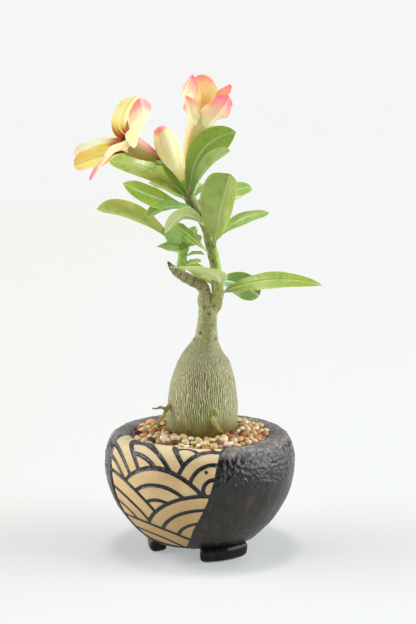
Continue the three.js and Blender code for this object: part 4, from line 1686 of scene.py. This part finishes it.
@dataclass
class Shoots:
    """The leafy main shoot and the short shoot on the side branch."""

    main_stem: tuple[Section, ...] = (
        (10.7, -0.5, 157.4, 3.45), (11, -1, 164, 3.7), (10.5, -1.5, 171, 3.7), (9.8, -2, 178, 3.4),
        (8.4, -2, 185.5, 3.4), (5.9, -1.5, 194.6, 3.2), (3.8, -1, 203, 3), (0.3, -0.5, 210, 3.2),
        (-3.6, 0, 216.4, 3.4), (-6.3, 0, 221.6, 2.3),
    )
    left_stem: tuple[Section, ...] = (
        (-11.7, -3.3, 175.5, 2.7), (-11.4, -3.2, 179, 2.8), (-11, -3.2, 184, 2.7), (-10.4, -3, 190.5, 2),
    )
    crown: tuple[Blade, ...] = (
        Blade((-5.6, 0, 221), (0.6, 0, 248.4), (22.6, 4, 260.8), (-0.25, -0.95, 0.2), 21, 0.5, 0.7, blunt=0.8,
              lean=0.12),
        Blade((-5.4, -1, 221), (3.6, -7, 239), (18.4, -14, 250.4), (-0.5, -0.55, 0.65), 13, 0.66, 0.35,
              fold=0.42),
        Blade((-6.8, -1, 219.0), (-29.8, 2, 237.0), (-56.2, 13, 242.6), (0.1, -0.62, 0.75), 22, 0.7, 0.9,
              blunt=0.6, lean=0.08),
        Blade((-5.5, -1, 215.0), (-29.0, -12, 222.6), (-46.4, -22, 231.4), (0.1, -0.65, 0.75), 19, 0.5, 0.9,
              blunt=1.0, fullest=0.58, lean=-0.1),
        Blade((-6.5, 1, 218), (-18.7, 16, 225.6), (-31.5, 27, 228.7), (0.1, -0.3, 0.95), 16, 0.5, 0.5),
        Blade((-6.8, 0, 221.5), (-15, -1.5, 235.7), (-21.8, -2.5, 245), (0.3, -0.9, 0.3), 12, 0.5, 0.75),
        Blade((-5, 1.5, 219.5), (-1, 18, 226.5), (4, 34, 226), (0, -0.1, 1), 16, 0.45, 0.55),
        Blade((-2.3, 2, 212), (8.8, 18, 220), (21, 30, 225), (0, -0.3, 0.95), 16, 0.4, 0.5),
        Blade((2, 1.5, 206), (18.4, 17, 221.4), (32.5, 27, 225), (0.2, -0.5, 0.8), 14, 0.5, 0.6),
        Blade((-2.6, -2, 214.2), (-19, -14, 216.2), (-30.6, -20, 211.0), (0, -0.5, 0.85), 11, 0.6, 0.4,
              fold=0.4),
    )
    stem: tuple[Blade, ...] = (
        Blade((8.6, -3, 188.6), (12.6, -12, 213.6), (18.2, -15, 236.6), (-0.55, -0.83, 0.1), 26, 0.66, 0.6,
              fullest=0.72, blunt=0.3, neck=0.16, stalk=3, fold=0.36, columns=64, lean=-0.1),
        Blade((6.3, 0, 193), (23.8, 10, 205), (43.7, 17, 210), (-0.2, -0.45, 0.85), 14, 0.66, 0.6, blunt=0.75),
        Blade((3.6, 1.5, 202), (-4, 18, 209), (-12, 31, 207.5), (0, -0.1, 1), 14, 0.45, 0.5),
        Blade((3.4, -2.6, 203.3), (-9.5, -15, 212), (-21, -22, 201.2), (0, 0.55, 0.85), 10.5, 0.62, 0.85,
              face_at_tip=(-0.8, 0.55, 0)),
        Blade((7.6, -3, 185), (-3.5, -11, 196.4), (-14.3, -18, 205.4), (0.2, -0.6, 0.75), 11, 0.45, 0.85,
              stalk=1.6, fullest=0.75, neck=0.2),
    )
    fork: tuple[Blade, ...] = (
        Blade((12, -1, 161.4), (44.8, 2, 169.6), (77.2, 8, 165.2), (0, -0.6, 0.8), 15, 0.62, 0.95,
              fullest=0.5, blunt=0.95, columns=64, lean=0.12),
        Blade((11.3, 0.5, 169.5), (25, 14, 165.4), (37.8, 23, 156.6), (0.1, -0.95, 0.2), 17, 0.1, 0.85),
        Blade((11.6, -3.6, 168.5), (6.0, -14, 177.2), (-20.7, -22, 181), (0.1, 0.5, 0.85), 18, 0.88, 0.75,
              fullest=0.24, blunt=1.2, lean=0.42),
        Blade((9.5, 1, 166.5), (2, 14, 171.5), (-10, 24, 177.4), (0, -0.4, 0.9), 12, 0.4, 0.5),
    )
    left: tuple[Blade, ...] = (
        Blade((-11.5, -3.6, 189.5), (-37.4, -13, 211), (-62.4, -16, 215.2), (0.3, -0.5, 0.8), 18, 0.88, 0.85,
              blunt=0.7, lean=0.1),
        Blade((-10.3, -4.4, 189), (-16.9, -10, 191.6), (-26.5, -13, 192.3), (0, -0.7, 0.7), 9, 0.75, 0.1,
              rib=1, blunt=1.2, fullest=0.42),
        Blade((-9.6, -4, 185), (-2.9, -7, 187.8), (3.1, -8, 186.5), (0, -0.3, 0.95), 4.5, 0.6, 0.6, rib=0.9),
        Blade((-9.8, -4, 180.8), (-4, -6, 182), (1.2, -6.6, 182.8), (0, -0.6, 0.8), 5, 0.85, 0.7, rib=0.9),
        Blade((-11, -3.6, 189), (-15.8, -6, 196.7), (-19.4, -6, 205.3), (0.4, -0.8, 0.3), 12, 0.85, 0.35,
              rib=1, blunt=0.8),
        Blade((-10.6, -3, 190), (-12.2, -2, 197.5), (-13.1, -1, 204.8), (0, -0.9, 0.3), 10, 0.7, 0.4, rib=1,
              blunt=0.9),
        Blade((-9.8, -3, 190), (-6.6, -1, 196.2), (-2.3, 2, 203.3), (-0.4, -0.8, 0.4), 9, 0.85, 0.6, rib=1,
              blunt=0.9),
        Blade((-9.8, -3.2, 190), (-4, -3, 194.2), (1.4, -2.2, 197.6), (-0.3, -0.7, 0.6), 8, 0.9, 0.6, rib=1,
              blunt=0.9),
    )
    blemishes: tuple[Section, ...] = (
        (30.5, -5.5, 163.5, 2.4), (34.5, -5.5, 164.3, 1.6), (26.2, -4.5, 162.8, 1.2),
        (21.8, -12.5, 214.5, 2.6), (22.6, -12.4, 220, 1.6), (-8.5, -20, 209, 2.0), (2.5, -13, 219, 1.0),
    )
    scars: tuple[Section, ...] = (
        (1.6, -3.6, 210.5, 2.6), (8.4, -5.4, 182.5, 1.2), (5.4, -4.6, 192.5, 0.9), (12.5, -3.8, 171, 0.9),
        (9.2, -4.6, 160.8, 1.0), (-3.8, -3.2, 215.4, 1.1), (11.0, -4.8, 168.2, 0.8),
    )
    cushion_height: float = 0.7
    cushion_reach: float = 2.4
    left_youth: float = 0.9

    def cushioned_stem(
        self, name: str, sections: Sequence[Section], youth: float, leaves: Sequence[Blade],
    ) -> bpy.types.Object:
        """A stem with a low cushion under each of its leaves.

        Args:
            name: the new piece's name.
            sections: the stem's line.
            youth: 0 where it has old bark, 1 where it is all green.
            leaves: what it carries.

        Returns:
            The stem.
        """
        stem = limb(name, sections, 56, 150)
        points = points_of(stem)
        rise = wobble(points, 3.5, 8.0) * 0.18
        for leaf in leaves:
            away = np.linalg.norm(points - leaf.base, axis=1)
            rise += self.cushion_height * np.exp(-((away / self.cushion_reach) ** 2))
        set_points(stem, points + normals_of(stem) * rise[:, None])
        store(stem, "tone", youth)
        mark_spots(stem, self.scars)
        return stem

    def build(self) -> None:
        """Makes both shoots."""
        main_leaves = (*self.crown, *self.stem, *self.fork)
        for name, line, youth, leaves, node in (
            ("main_stem", self.main_stem, 0.0, main_leaves, "main_shoot"),
            ("left_stem", self.left_stem, self.left_youth, self.left, "left_shoot"),
        ):
            finish_piece(self.cushioned_stem(name, line, youth, leaves), STEM_SKIN, node)
        for name, shapes, node in (
            ("crown_leaves", self.crown, "main_shoot"), ("stem_leaves", self.stem, "main_shoot"),
            ("fork_leaves", self.fork, "main_shoot"), ("left_leaves", self.left, "left_shoot"),
        ):
            piece = blades(name, shapes)
            mark_spots(piece, self.blemishes)
            finish_piece(piece, LEAF_SKIN, node)


# ---------------------------------------------------------------------------------------- blooms


@dataclass(frozen=True)
class Petal:
    """A petal's middle and tip, the way that its inner face looks, its width, yellow, pink and shape."""

    via: Point
    tip: Point
    face: Point
    width: float
    gold: float
    pink: float
    fullest: float = 0.6
    blunt: float = 0.4
    stalk: float | None = None
    fold: float = 0.2


@dataclass(frozen=True)
class PetalSkin(Finish):
    """Cream to yellow, pink at the tip and margin, with dark streaks that run out of the throat."""

    name: str = "adenium_petal"
    pale: str = "fff8d8"
    golden: str = "fad85c"
    deep: str = "f8d458"
    streaks: str = "fffbe0"
    outer: str = "fdf4d2"
    blush: str = "fcaa9c"
    tip: str = "f4788c"
    margin: str = "f7949a"
    throat: str = "6a2a1a"
    relief: float = 0.25

    def wire(self, g: Graph) -> None:
        """Wires the yellows, then the pinks and the throat.

        Args:
            g: the empty tree.
        """
        gold, pink = g.stored("tone"), g.stored("warmth")
        across, along, upper = g.stored("across"), g.stored("along"), g.stored("upper")
        cloud = g.noise(5.0, 3.0)
        rays = g.node("ShaderNodeCombineXYZ", {}, {0: across * 5.0, 1: along * 0.7, 2: pink * 40.0})
        streak = g.noise(1 / MILLIMETRE, 3.0, rays)
        yellow = g.blend(gold, self.pale, self.golden)
        toward_throat = along.step(0.0, 0.75, 1.0, 0.0)
        colour = g.blend(toward_throat * (0.30 + gold * 0.4), yellow, self.deep)
        colour = g.blend(streak.step(0.45, 0.75) * 0.25, colour, self.streaks)
        outer = upper.step(-0.2, 0.0, 1.0, 0.0)
        colour = g.blend(outer * 0.45, colour, self.outer)
        reach = along * 0.95 + abs(across) * 0.22 + (cloud - 0.5) * 0.35 + (streak - 0.5) * 0.25
        blush = (reach + pink * 0.75).step(1.0, 1.65)
        colour = g.blend(blush * 0.85, colour, self.blush)
        tip = (reach + pink * 0.6).step(1.2, 1.65)
        colour = g.blend(tip * 0.95, colour, self.tip)
        margin = abs(across).step(0.90, 0.98) * along.step(0.25, 0.6)
        colour = g.blend(margin * (0.15 + pink * 0.55), colour, self.margin)
        throat = (along + (streak - 0.5) * 0.8).step(0.08, 0.34, 1.0, 0.0) * upper.step(0.0, 0.2)
        colour = g.blend(throat * 0.92, colour, self.throat)
        roughness = 0.5 + (cloud - 0.5) * 0.2
        normal = g.bump(streak * 0.6 + g.noise(0.8) * 0.2, self.relief)
        g.surface(
            colour, roughness, normal, Specular_IOR_Level=0.25, Subsurface_Weight=0.6, Subsurface_Scale=0.004,
            Sheen_Weight=0.1,
        )


SOFT_SKIN = {"Specular_IOR_Level": 0.3, "Subsurface_Weight": 0.25, "Subsurface_Scale": 0.003}


@dataclass(frozen=True)
class TubeSkin(Finish):
    """Salmon above and olive-brown below, yellow towards the mouth, dark inside."""

    name: str = "bloom_tube"
    below: str = "9c8a40"
    above: str = "f6ac98"
    plain: Stops = ((0.3, "f2d088"), (0.55, "f8da98"), (0.8, "fce8b4"))
    foot: str = "c4ac54"
    deep: str = "4c1c12"
    mouth: str = "8a4420"
    relief: float = 0.35

    def wire(self, g: Graph) -> None:
        """Wires the outside, then the throat.

        Args:
            g: the empty tree.
        """
        along, upward, inside = g.stored("along"), g.stored("upward"), g.stored("inside")
        rays = g.node("ShaderNodeCombineXYZ", {}, {0: g.stored("turn") * 2.4, 1: along})
        lines = g.noise(1 / MILLIMETRE, 3.0, rays)
        above = (upward + (lines - 0.5) * 0.8).step(-0.25, 0.55)
        blushing = g.blend(above, self.below, self.above)
        colour = g.blend(g.stored("blush"), g.ramp(lines, self.plain), blushing)
        colour = g.blend(along.step(0.0, 0.22, 1.0, 0.0) * 0.45, colour, self.foot)
        colour = g.blend(inside, colour, g.blend(along.step(0.72, 1.0), self.deep, self.mouth))
        g.surface(colour, 0.5, g.bump(lines, self.relief), **SOFT_SKIN)


@dataclass(frozen=True)
class BudSkin(Finish):
    """Soft yellow with pink along the wound margins and at the blunt top."""

    name: str = "furled_bud"
    tones: Stops = ((0.3, "fdea9a"), (0.6, "fff3bc"), (0.85, "fffae0"))
    foot: str = "dccc60"
    seam: str = "f08a78"
    top: str = "f67f86"
    relief: float = 0.2

    def wire(self, g: Graph) -> None:
        """Wires the yellow, the seams and the top.

        Args:
            g: the empty tree.
        """
        along, ribbed = g.stored("along"), g.stored("ribbed")
        cloud = g.noise(4.0, 3.0)
        colour = g.ramp(cloud, self.tones)
        colour = g.blend(along.step(0.0, 0.3, 1.0, 0.0) * 0.55, colour, self.foot)
        seam = ribbed.step(-0.95, -0.45, 1.0, 0.0)
        colour = g.blend(seam * along.step(0.35, 0.8) * 0.75, colour, self.seam)
        top = (along + (cloud - 0.5) * 0.25).step(0.86, 1.0)
        colour = g.blend(top * 0.8, colour, self.top)
        g.surface(colour, 0.5, g.bump(cloud, self.relief), **SOFT_SKIN)


PETAL_SKIN = PetalSkin()
TUBE_SKIN = TubeSkin()


def flower_stalk(name: str, sections: Sequence[Section]) -> bpy.types.Object:
    """A young green stalk with no scars.

    Args:
        name: the new piece's name.
        sections: rows of x, y, z and radius.

    Returns:
        The stalk.
    """
    stalk = limb(name, sections, 24, 40)
    store(stalk, "tone", YOUNG)
    store(stalk, "spot", 0.0)
    return stalk


@dataclass
class Flower:
    """A trumpet on a stalk: a tube with a dark throat, a calyx of five sepals and a ring of petals."""

    name: str
    stalk: tuple[Section, ...]
    tube: tuple[Section, ...]
    petals: tuple[Petal, ...]
    tube_blush: float
    wall: float = 0.5
    sink: float = 3.0
    outside_share: float = 0.6
    throat_depth: float = 0.75
    end_closing: float = 0.025
    flute_height: float = 0.05
    streaks_round: float = 10.0
    mouth_lip: float = 0.9
    petal_foot: float = 1.5
    sepal_count: int = 5
    sepal: tuple[Point, Point, Point] = ((-1, 1.4, 1), (2.5, 3.4, 1.5), (7, 4.4, 0.4))

    def heading(self, at_mouth: bool) -> Array:
        """The tube's direction at its mouth or at its foot."""
        rows = np.array(self.tube, float)[:, :3]
        return unit(rows[-1] - rows[-2]) if at_mouth else unit(rows[1] - rows[0])

    def trumpet(self) -> bpy.types.Object:
        """The tube, with its inner wall down the throat.

        Returns:
            The tube. It keeps `along`, `upward`, `inside`, `blush` and `turn`.
        """
        def place(u: Array, v: Array) -> tuple[Array, Kept]:
            """Up the outside, over the mouth's edge and down the throat.

            Args:
                u: shares round the tube.
                v: shares of that way.

            Returns:
                The points and the numbers kept on them.
            """
            outer = v < self.outside_share
            inward = (v - self.outside_share) / (1 - self.outside_share)
            share = np.where(outer, v / self.outside_share, 1 - inward * self.throat_depth)
            ring, across, other = swept(self.tube, share, TUBE_SAMPLES)
            closing = np.clip(np.minimum(v, 1 - v) / self.end_closing, 0, 1) ** 0.5
            turn = 2 * math.pi * u
            flute = 1 + self.flute_height * np.cos(len(self.petals) * turn) * share
            radius = (ring[:, 3] - np.where(outer, 0, self.wall)) * closing * flute
            out = across * np.cos(turn)[:, None] + other * np.sin(turn)[:, None]
            points = ring[:, :3] + out * radius[:, None]
            kept = {
                "along": share, "upward": out[:, 2], "inside": np.where(outer, 0.0, 1.0),
                "blush": np.full(len(v), self.tube_blush), "turn": self.streaks_round * u,
            }
            return points, kept

        return laid_sheet(f"{self.name}_tube", 60, 70, place)

    def petal_blades(self) -> list[Blade]:
        """The petals as blades that start inside the tube's mouth.

        Returns:
            One blade for each petal.
        """
        mouth = np.array(self.tube[-1][:3], float)
        radius = self.tube[-1][3]
        axis = self.heading(at_mouth=True)
        shapes = []
        for petal in self.petals:
            out = np.subtract(petal.via, mouth)
            out = unit(out - axis * out.dot(axis))
            base = mouth - axis * self.sink + out * (radius - self.mouth_lip)
            shapes.append(Blade(
                tuple(base), petal.via, petal.tip, tuple(-out), petal.width, petal.gold, petal.pink,
                face_at_tip=petal.face, fullest=petal.fullest, blunt=petal.blunt,
                stalk=petal.stalk or self.petal_foot * radius, neck=0.0, fold=petal.fold, rib=0.4, thick=0.45,
                wave=0.7, wrap=radius, columns=64, rows=56,
            ))
        return shapes

    def sepals(self) -> list[Blade]:
        """The calyx round the foot of the tube.

        Returns:
            One blade for each sepal.
        """
        foot = np.array(self.stalk[-1][:3], float)
        axis = self.heading(at_mouth=False)
        side = unit(np.cross(axis, (0.0, 1.0, 0.0)))
        other = np.cross(axis, side)
        shapes = []
        for number in range(self.sepal_count):
            turn = 2 * math.pi * number / self.sepal_count
            out = side * math.cos(turn) + other * math.sin(turn)
            base, via, tip = (foot + axis * rise + out * reach for rise, reach, _ in self.sepal)
            shapes.append(Blade(
                tuple(base), tuple(via), tuple(tip), tuple(-out), 3.0, 0.55, 0.8, fullest=0.45, blunt=0.7,
                rib=0.4, thick=0.5, wave=0.0, columns=20, rows=14,
            ))
        return shapes

    def build(self) -> None:
        """Makes the flower."""
        stalk = flower_stalk(f"{self.name}_stalk", self.stalk)
        calyx = blades(f"{self.name}_calyx", self.sepals())
        store(calyx, "spot", 0.0)
        petals = blades(f"{self.name}_petals", self.petal_blades())
        for piece, finish, slot in (
            (stalk, STEM_SKIN, Slot.PETAL), (calyx, LEAF_SKIN, Slot.LEAF),
            (self.trumpet(), TUBE_SKIN, Slot.PETAL), (petals, PETAL_SKIN, Slot.PETAL),
        ):
            finish_piece(piece, finish, self.name)


@dataclass
class Bud:
    """A furled bud, its petals wound in a spiral."""

    stalk: tuple[Section, ...] = (
        (-6.6, -0.4, 221, 1.2), (-8, -3.6, 225.6, 1), (-9.2, -5, 229.4, 1.1), (-9.8, -5.3, 230.8, 2.2),
        (-10.2, -5.5, 231.8, 2.0),
    )
    petals: tuple[Section, ...] = (
        (-10.4, -5.6, 232.0, 1.6), (-12.8, -6.2, 238, 3.4), (-15.8, -6.8, 244.5, 5.8),
        (-18.5, -7.2, 250.5, 7.2), (-21.0, -7.6, 256, 7.0), (-23.2, -7.9, 260.4, 5.4), (-24.4, -8, 262.4, 3.8),
    )
    ribs: Ribs = Ribs(5, 0.07, 4.0)
    rounding: float = 0.05

    def build(self) -> None:
        """Makes the bud."""
        finish_piece(flower_stalk("bud_stalk", self.stalk), STEM_SKIN, "bud")
        furled = limb("furled_petals", self.petals, 96, 90, self.rounding, self.ribs)
        finish_piece(furled, BudSkin(), "bud")


OPEN_BLOOM = Flower(
    "open_bloom",
    stalk=((-6, 0, 220.5, 1.2), (-14, 0.5, 231, 1), (-20, 0.2, 241, 1.1), (-21.3, -0.2, 242.6, 2.2),
           (-21.9, -0.5, 243.2, 2.0)),
    tube=((-22.0, -0.6, 243.2, 1.8), (-26.5, -3, 245.6, 3.2), (-33, -7.5, 249.2, 5.2),
          (-39.5, -12, 253.0, 6.6), (-44.1, -15, 255.9, 7)),
    petals=(
        Petal((-45.4, -12, 270.4), (-37.0, -4, 283.5), (-0.6, -0.75, 0.1), 17, 0.6, 0.25, fullest=0.5,
              blunt=0.7),
        Petal((-60.5, -8, 250.6), (-77.4, -9, 248.2), (-0.1, -0.5, 0.85), 18, 0.02, 0.35, blunt=0.6),
        Petal((-59.5, -16.5, 246.6), (-75.6, -18, 241.2), (-0.2, -0.78, 0.58), 18, 0.85, 0.4, fullest=0.6,
              blunt=0.4, stalk=5.5),
        Petal((-52.0, -26.6, 249.4), (-65.2, -31, 233.0), (-0.6, 0.1, 0.75), 15, 0.3, 0.8, fullest=0.45,
              stalk=9),
        Petal((-33.8, -26, 268.5), (-35.2, -29, 282), (-0.6, 0.8, 0.2), 20, 0.45, 0.8, fullest=0.5,
              blunt=0.35, stalk=9),
    ),
    tube_blush=1.0,
)
TOP_BLOOM = Flower(
    "top_bloom",
    stalk=((-6.2, 0.5, 220.5, 1.2), (-7, 5, 226.4, 1), (-7.2, 7, 230.6, 1.1), (-7.2, 7.4, 232.4, 2.2),
           (-7.2, 7.5, 233.4, 2.0)),
    tube=((-7.2, 7.6, 233.4, 1.3), (-7.2, 8, 240, 2.2), (-6.6, 9, 250, 3.4), (-3.6, 9.6, 260, 5.2),
          (0.8, 10, 267.5, 7)),
    petals=(
        Petal((-7.8, 8, 281), (-4.0, 10, 295.8), (0.6, 0.75, 0), 18, 0.4, 0.85, fullest=0.5, blunt=0.6),
        Petal((1.0, 19, 280.6), (-4.6, 17, 292.8), (0.35, -0.9, 0.25), 24, 0.6, 0.62, fullest=0.65,
              blunt=0.30),
        Petal((14, 15, 280), (19.6, 11, 288.6), (-0.6, -0.5, 0.5), 14, 0.7, 1.0, blunt=0.7),
        Petal((12.5, -1, 274), (17.6, -0.5, 283), (-0.5, 0.7, 0.5), 19, 0.35, 1.15, fullest=0.66, blunt=0.35),
        Petal((-5.2, 1, 273), (-9.0, 2, 283.5), (0.5, 0.8, 0.1), 11, 0.4, 0.75, blunt=0.8, stalk=6),
    ),
    tube_blush=0.15,
)


# ---------------------------------------------------------------------------------------- the studio


@dataclass(frozen=True)
class PaleFloor(Finish):
    """A pale floor that glows a little, with painted warm light on the left and a painted shadow under the
    foot at the front.
    """

    name: str = "pale_floor"
    # painted warm light: the floor's tint on the left
    near: str = "b4b3ab"
    far: str = "b4b4b4"
    # painted shadow under the front foot: its centre, squeeze and tone
    shadow_centre: Pair = (8.0, -38.0)
    shadow_squeeze: float = 0.8
    painted_shadow_tone: str = "70767a"
    glow: Tint = (0.97, 1.0, 1.0, 1.0)
    glow_strength: float = 0.345
    relief: float = 0.02

    def wire(self, g: Graph) -> None:
        """Wires the floor's tint, a painted warm light on the left that fades with the distance, and the
        painted shadow under the foot.

        Args:
            g: the empty tree.
        """
        x, y = g.axis("X"), g.axis("Y")
        distance = ((x * x + y * y) ** 0.5).step(1200.0, 3500.0)
        # painted light: warm on the floor's left, as if lit warm from that side, fading out with the distance
        colour = g.blend(x.step(-420.0, 120.0).higher(distance), self.near, self.far)
        # painted shadow: a darker patch on the floor round the front foot
        across, along = (x - self.shadow_centre[0]) * self.shadow_squeeze, y - self.shadow_centre[1]
        painted_foot_shadow = ((across * across + along * along) ** 0.5).step(8.0, 24.0, 1.0, 0.0)
        colour = g.blend(painted_foot_shadow * 0.55, colour, self.painted_shadow_tone)
        g.surface(
            colour, 0.9, g.bump(g.noise(30.0), self.relief), Specular_IOR_Level=0.0, Emission_Color=self.glow,
            Emission_Strength=self.glow_strength,
        )


@dataclass
class Studio:
    """A bright room: pale floor and walls, soft light from the sides and behind, and a box of light."""

    lens: float = 85.0
    sensor: float = 36.0
    camera_place: Point = (0.00506, -0.9037, 0.2959)
    camera_tilt: float = 9.18
    floor_reach: float = 30.0
    backdrop: float = 0.92
    front_light: float = 0.14
    back_light: float = 0.30
    side_lights: tuple[tuple[Point, float], ...] = (((1.0, 0.0, 0.16), 5.8), ((-1.0, 0.0, 0.16), 5.4))
    side_edge: Pair = (0.74, 0.97)
    room_tint: Tint = (0.97, 0.985, 1.0, 1.0)
    wall_tint: Tint = (1.0, 1.0, 0.995, 1.0)
    overhead_power: float = 1.10
    overhead_spread: float = 12.0
    overhead_turn: Point = (-4.0, -3.0, 0.0)
    overhead_tint: Point = (1.0, 0.98, 0.94)
    box_place: Point = (1.0, -0.45, 0.85)
    box_target: Point = (0.0, 0.0, 0.15)
    box_size: Pair = (0.30, 0.26)
    box_power: float = 2.2
    box_tint: Point = (0.80, 0.89, 1.0)

    def camera(self) -> None:
        """The camera, level from left to right and looking a little down."""
        data = bpy.data.cameras.new("camera")
        data.lens = self.lens
        data.sensor_width = self.sensor
        data.sensor_fit = "AUTO"
        data.clip_start = 0.01
        camera = bpy.data.objects.new("camera", data)
        camera.location = self.camera_place
        camera.rotation_euler = (math.radians(90 - self.camera_tilt), 0, 0)
        bpy.context.scene.collection.objects.link(camera)
        bpy.context.scene.camera = camera

    def floor(self) -> None:
        """A wide pale floor."""
        floor = primitive(bpy.ops.mesh.primitive_plane_add, size=1.0)
        floor.name = "studio_floor"
        set_points(floor, points_of(floor) * self.floor_reach)
        floor.data.materials.append(PaleFloor().material())

    def world(self) -> None:
        """Light from all round, dimmer from the front, and an even pale backdrop for the camera."""
        world = bpy.data.worlds.new("bright_room")
        bpy.context.scene.world = world
        g = Graph(world)
        toward = g.node("ShaderNodeTexCoord", output="Generated")
        behind = g.axis("Y", toward).step(-0.45, 0.45)
        strength = self.front_light + behind * self.back_light
        for direction, power in self.side_lights:
            values = {0: toward, 1: tuple(unit(direction))}
            facing = g.node("ShaderNodeVectorMath", {"operation": "DOT_PRODUCT"}, values, "Value")
            strength = strength + facing.step(*self.side_edge) * power
        room = g.node("ShaderNodeBackground", {}, {"Color": self.room_tint, "Strength": strength})
        wall = g.node("ShaderNodeBackground", {}, {"Color": self.wall_tint, "Strength": self.backdrop})
        seen = g.node("ShaderNodeLightPath", output="Is Camera Ray")
        g.end(g.node("ShaderNodeMixShader", {}, {0: seen, 1: room, 2: wall}), "ShaderNodeOutputWorld")

    def hang(self, data: bpy.types.Light, place: Point, turn: Sequence[float]) -> None:
        """Puts a light in the room.

        Args:
            data: the light.
            place: where it hangs, in metres.
            turn: its turn round X, Y and Z in radians.
        """
        lamp = bpy.data.objects.new(data.name, data)
        lamp.location = place
        lamp.rotation_euler = turn
        bpy.context.scene.collection.objects.link(lamp)

    def overhead(self) -> None:
        """Soft light from almost straight above, a little warm."""
        data = bpy.data.lights.new("overhead", "SUN")
        data.energy = self.overhead_power
        data.angle = math.radians(self.overhead_spread)
        data.color = self.overhead_tint
        self.hang(data, (0.0, 0.0, 0.0), [math.radians(angle) for angle in self.overhead_turn])

    def shoulder_box(self) -> None:
        """One box of light at the right, which the bowl's shoulder mirrors."""
        data = bpy.data.lights.new("shoulder_box", "AREA")
        data.shape = "RECTANGLE"
        data.size, data.size_y = self.box_size
        data.energy = self.box_power
        data.color = self.box_tint
        toward = Vector(np.subtract(self.box_target, self.box_place))
        self.hang(data, self.box_place, toward.to_track_quat("-Z", "Y").to_euler())

    def build(self) -> None:
        """Sets up the camera, floor and lights."""
        bpy.context.scene.view_settings.view_transform = "Standard"
        self.camera()
        self.floor()
        self.world()
        self.shoulder_box()
        self.overhead()


def main() -> None:
    """Makes the potted plant and the room round it."""
    logging.basicConfig(level=logging.INFO, format="%(message)s")
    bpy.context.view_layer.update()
    for part in (Studio(), Bowl(), Gravel(), Trunk(), Shoots(), OPEN_BLOOM, TOP_BLOOM, Bud()):
        part.build()


if __name__ == "__main__":
    main()
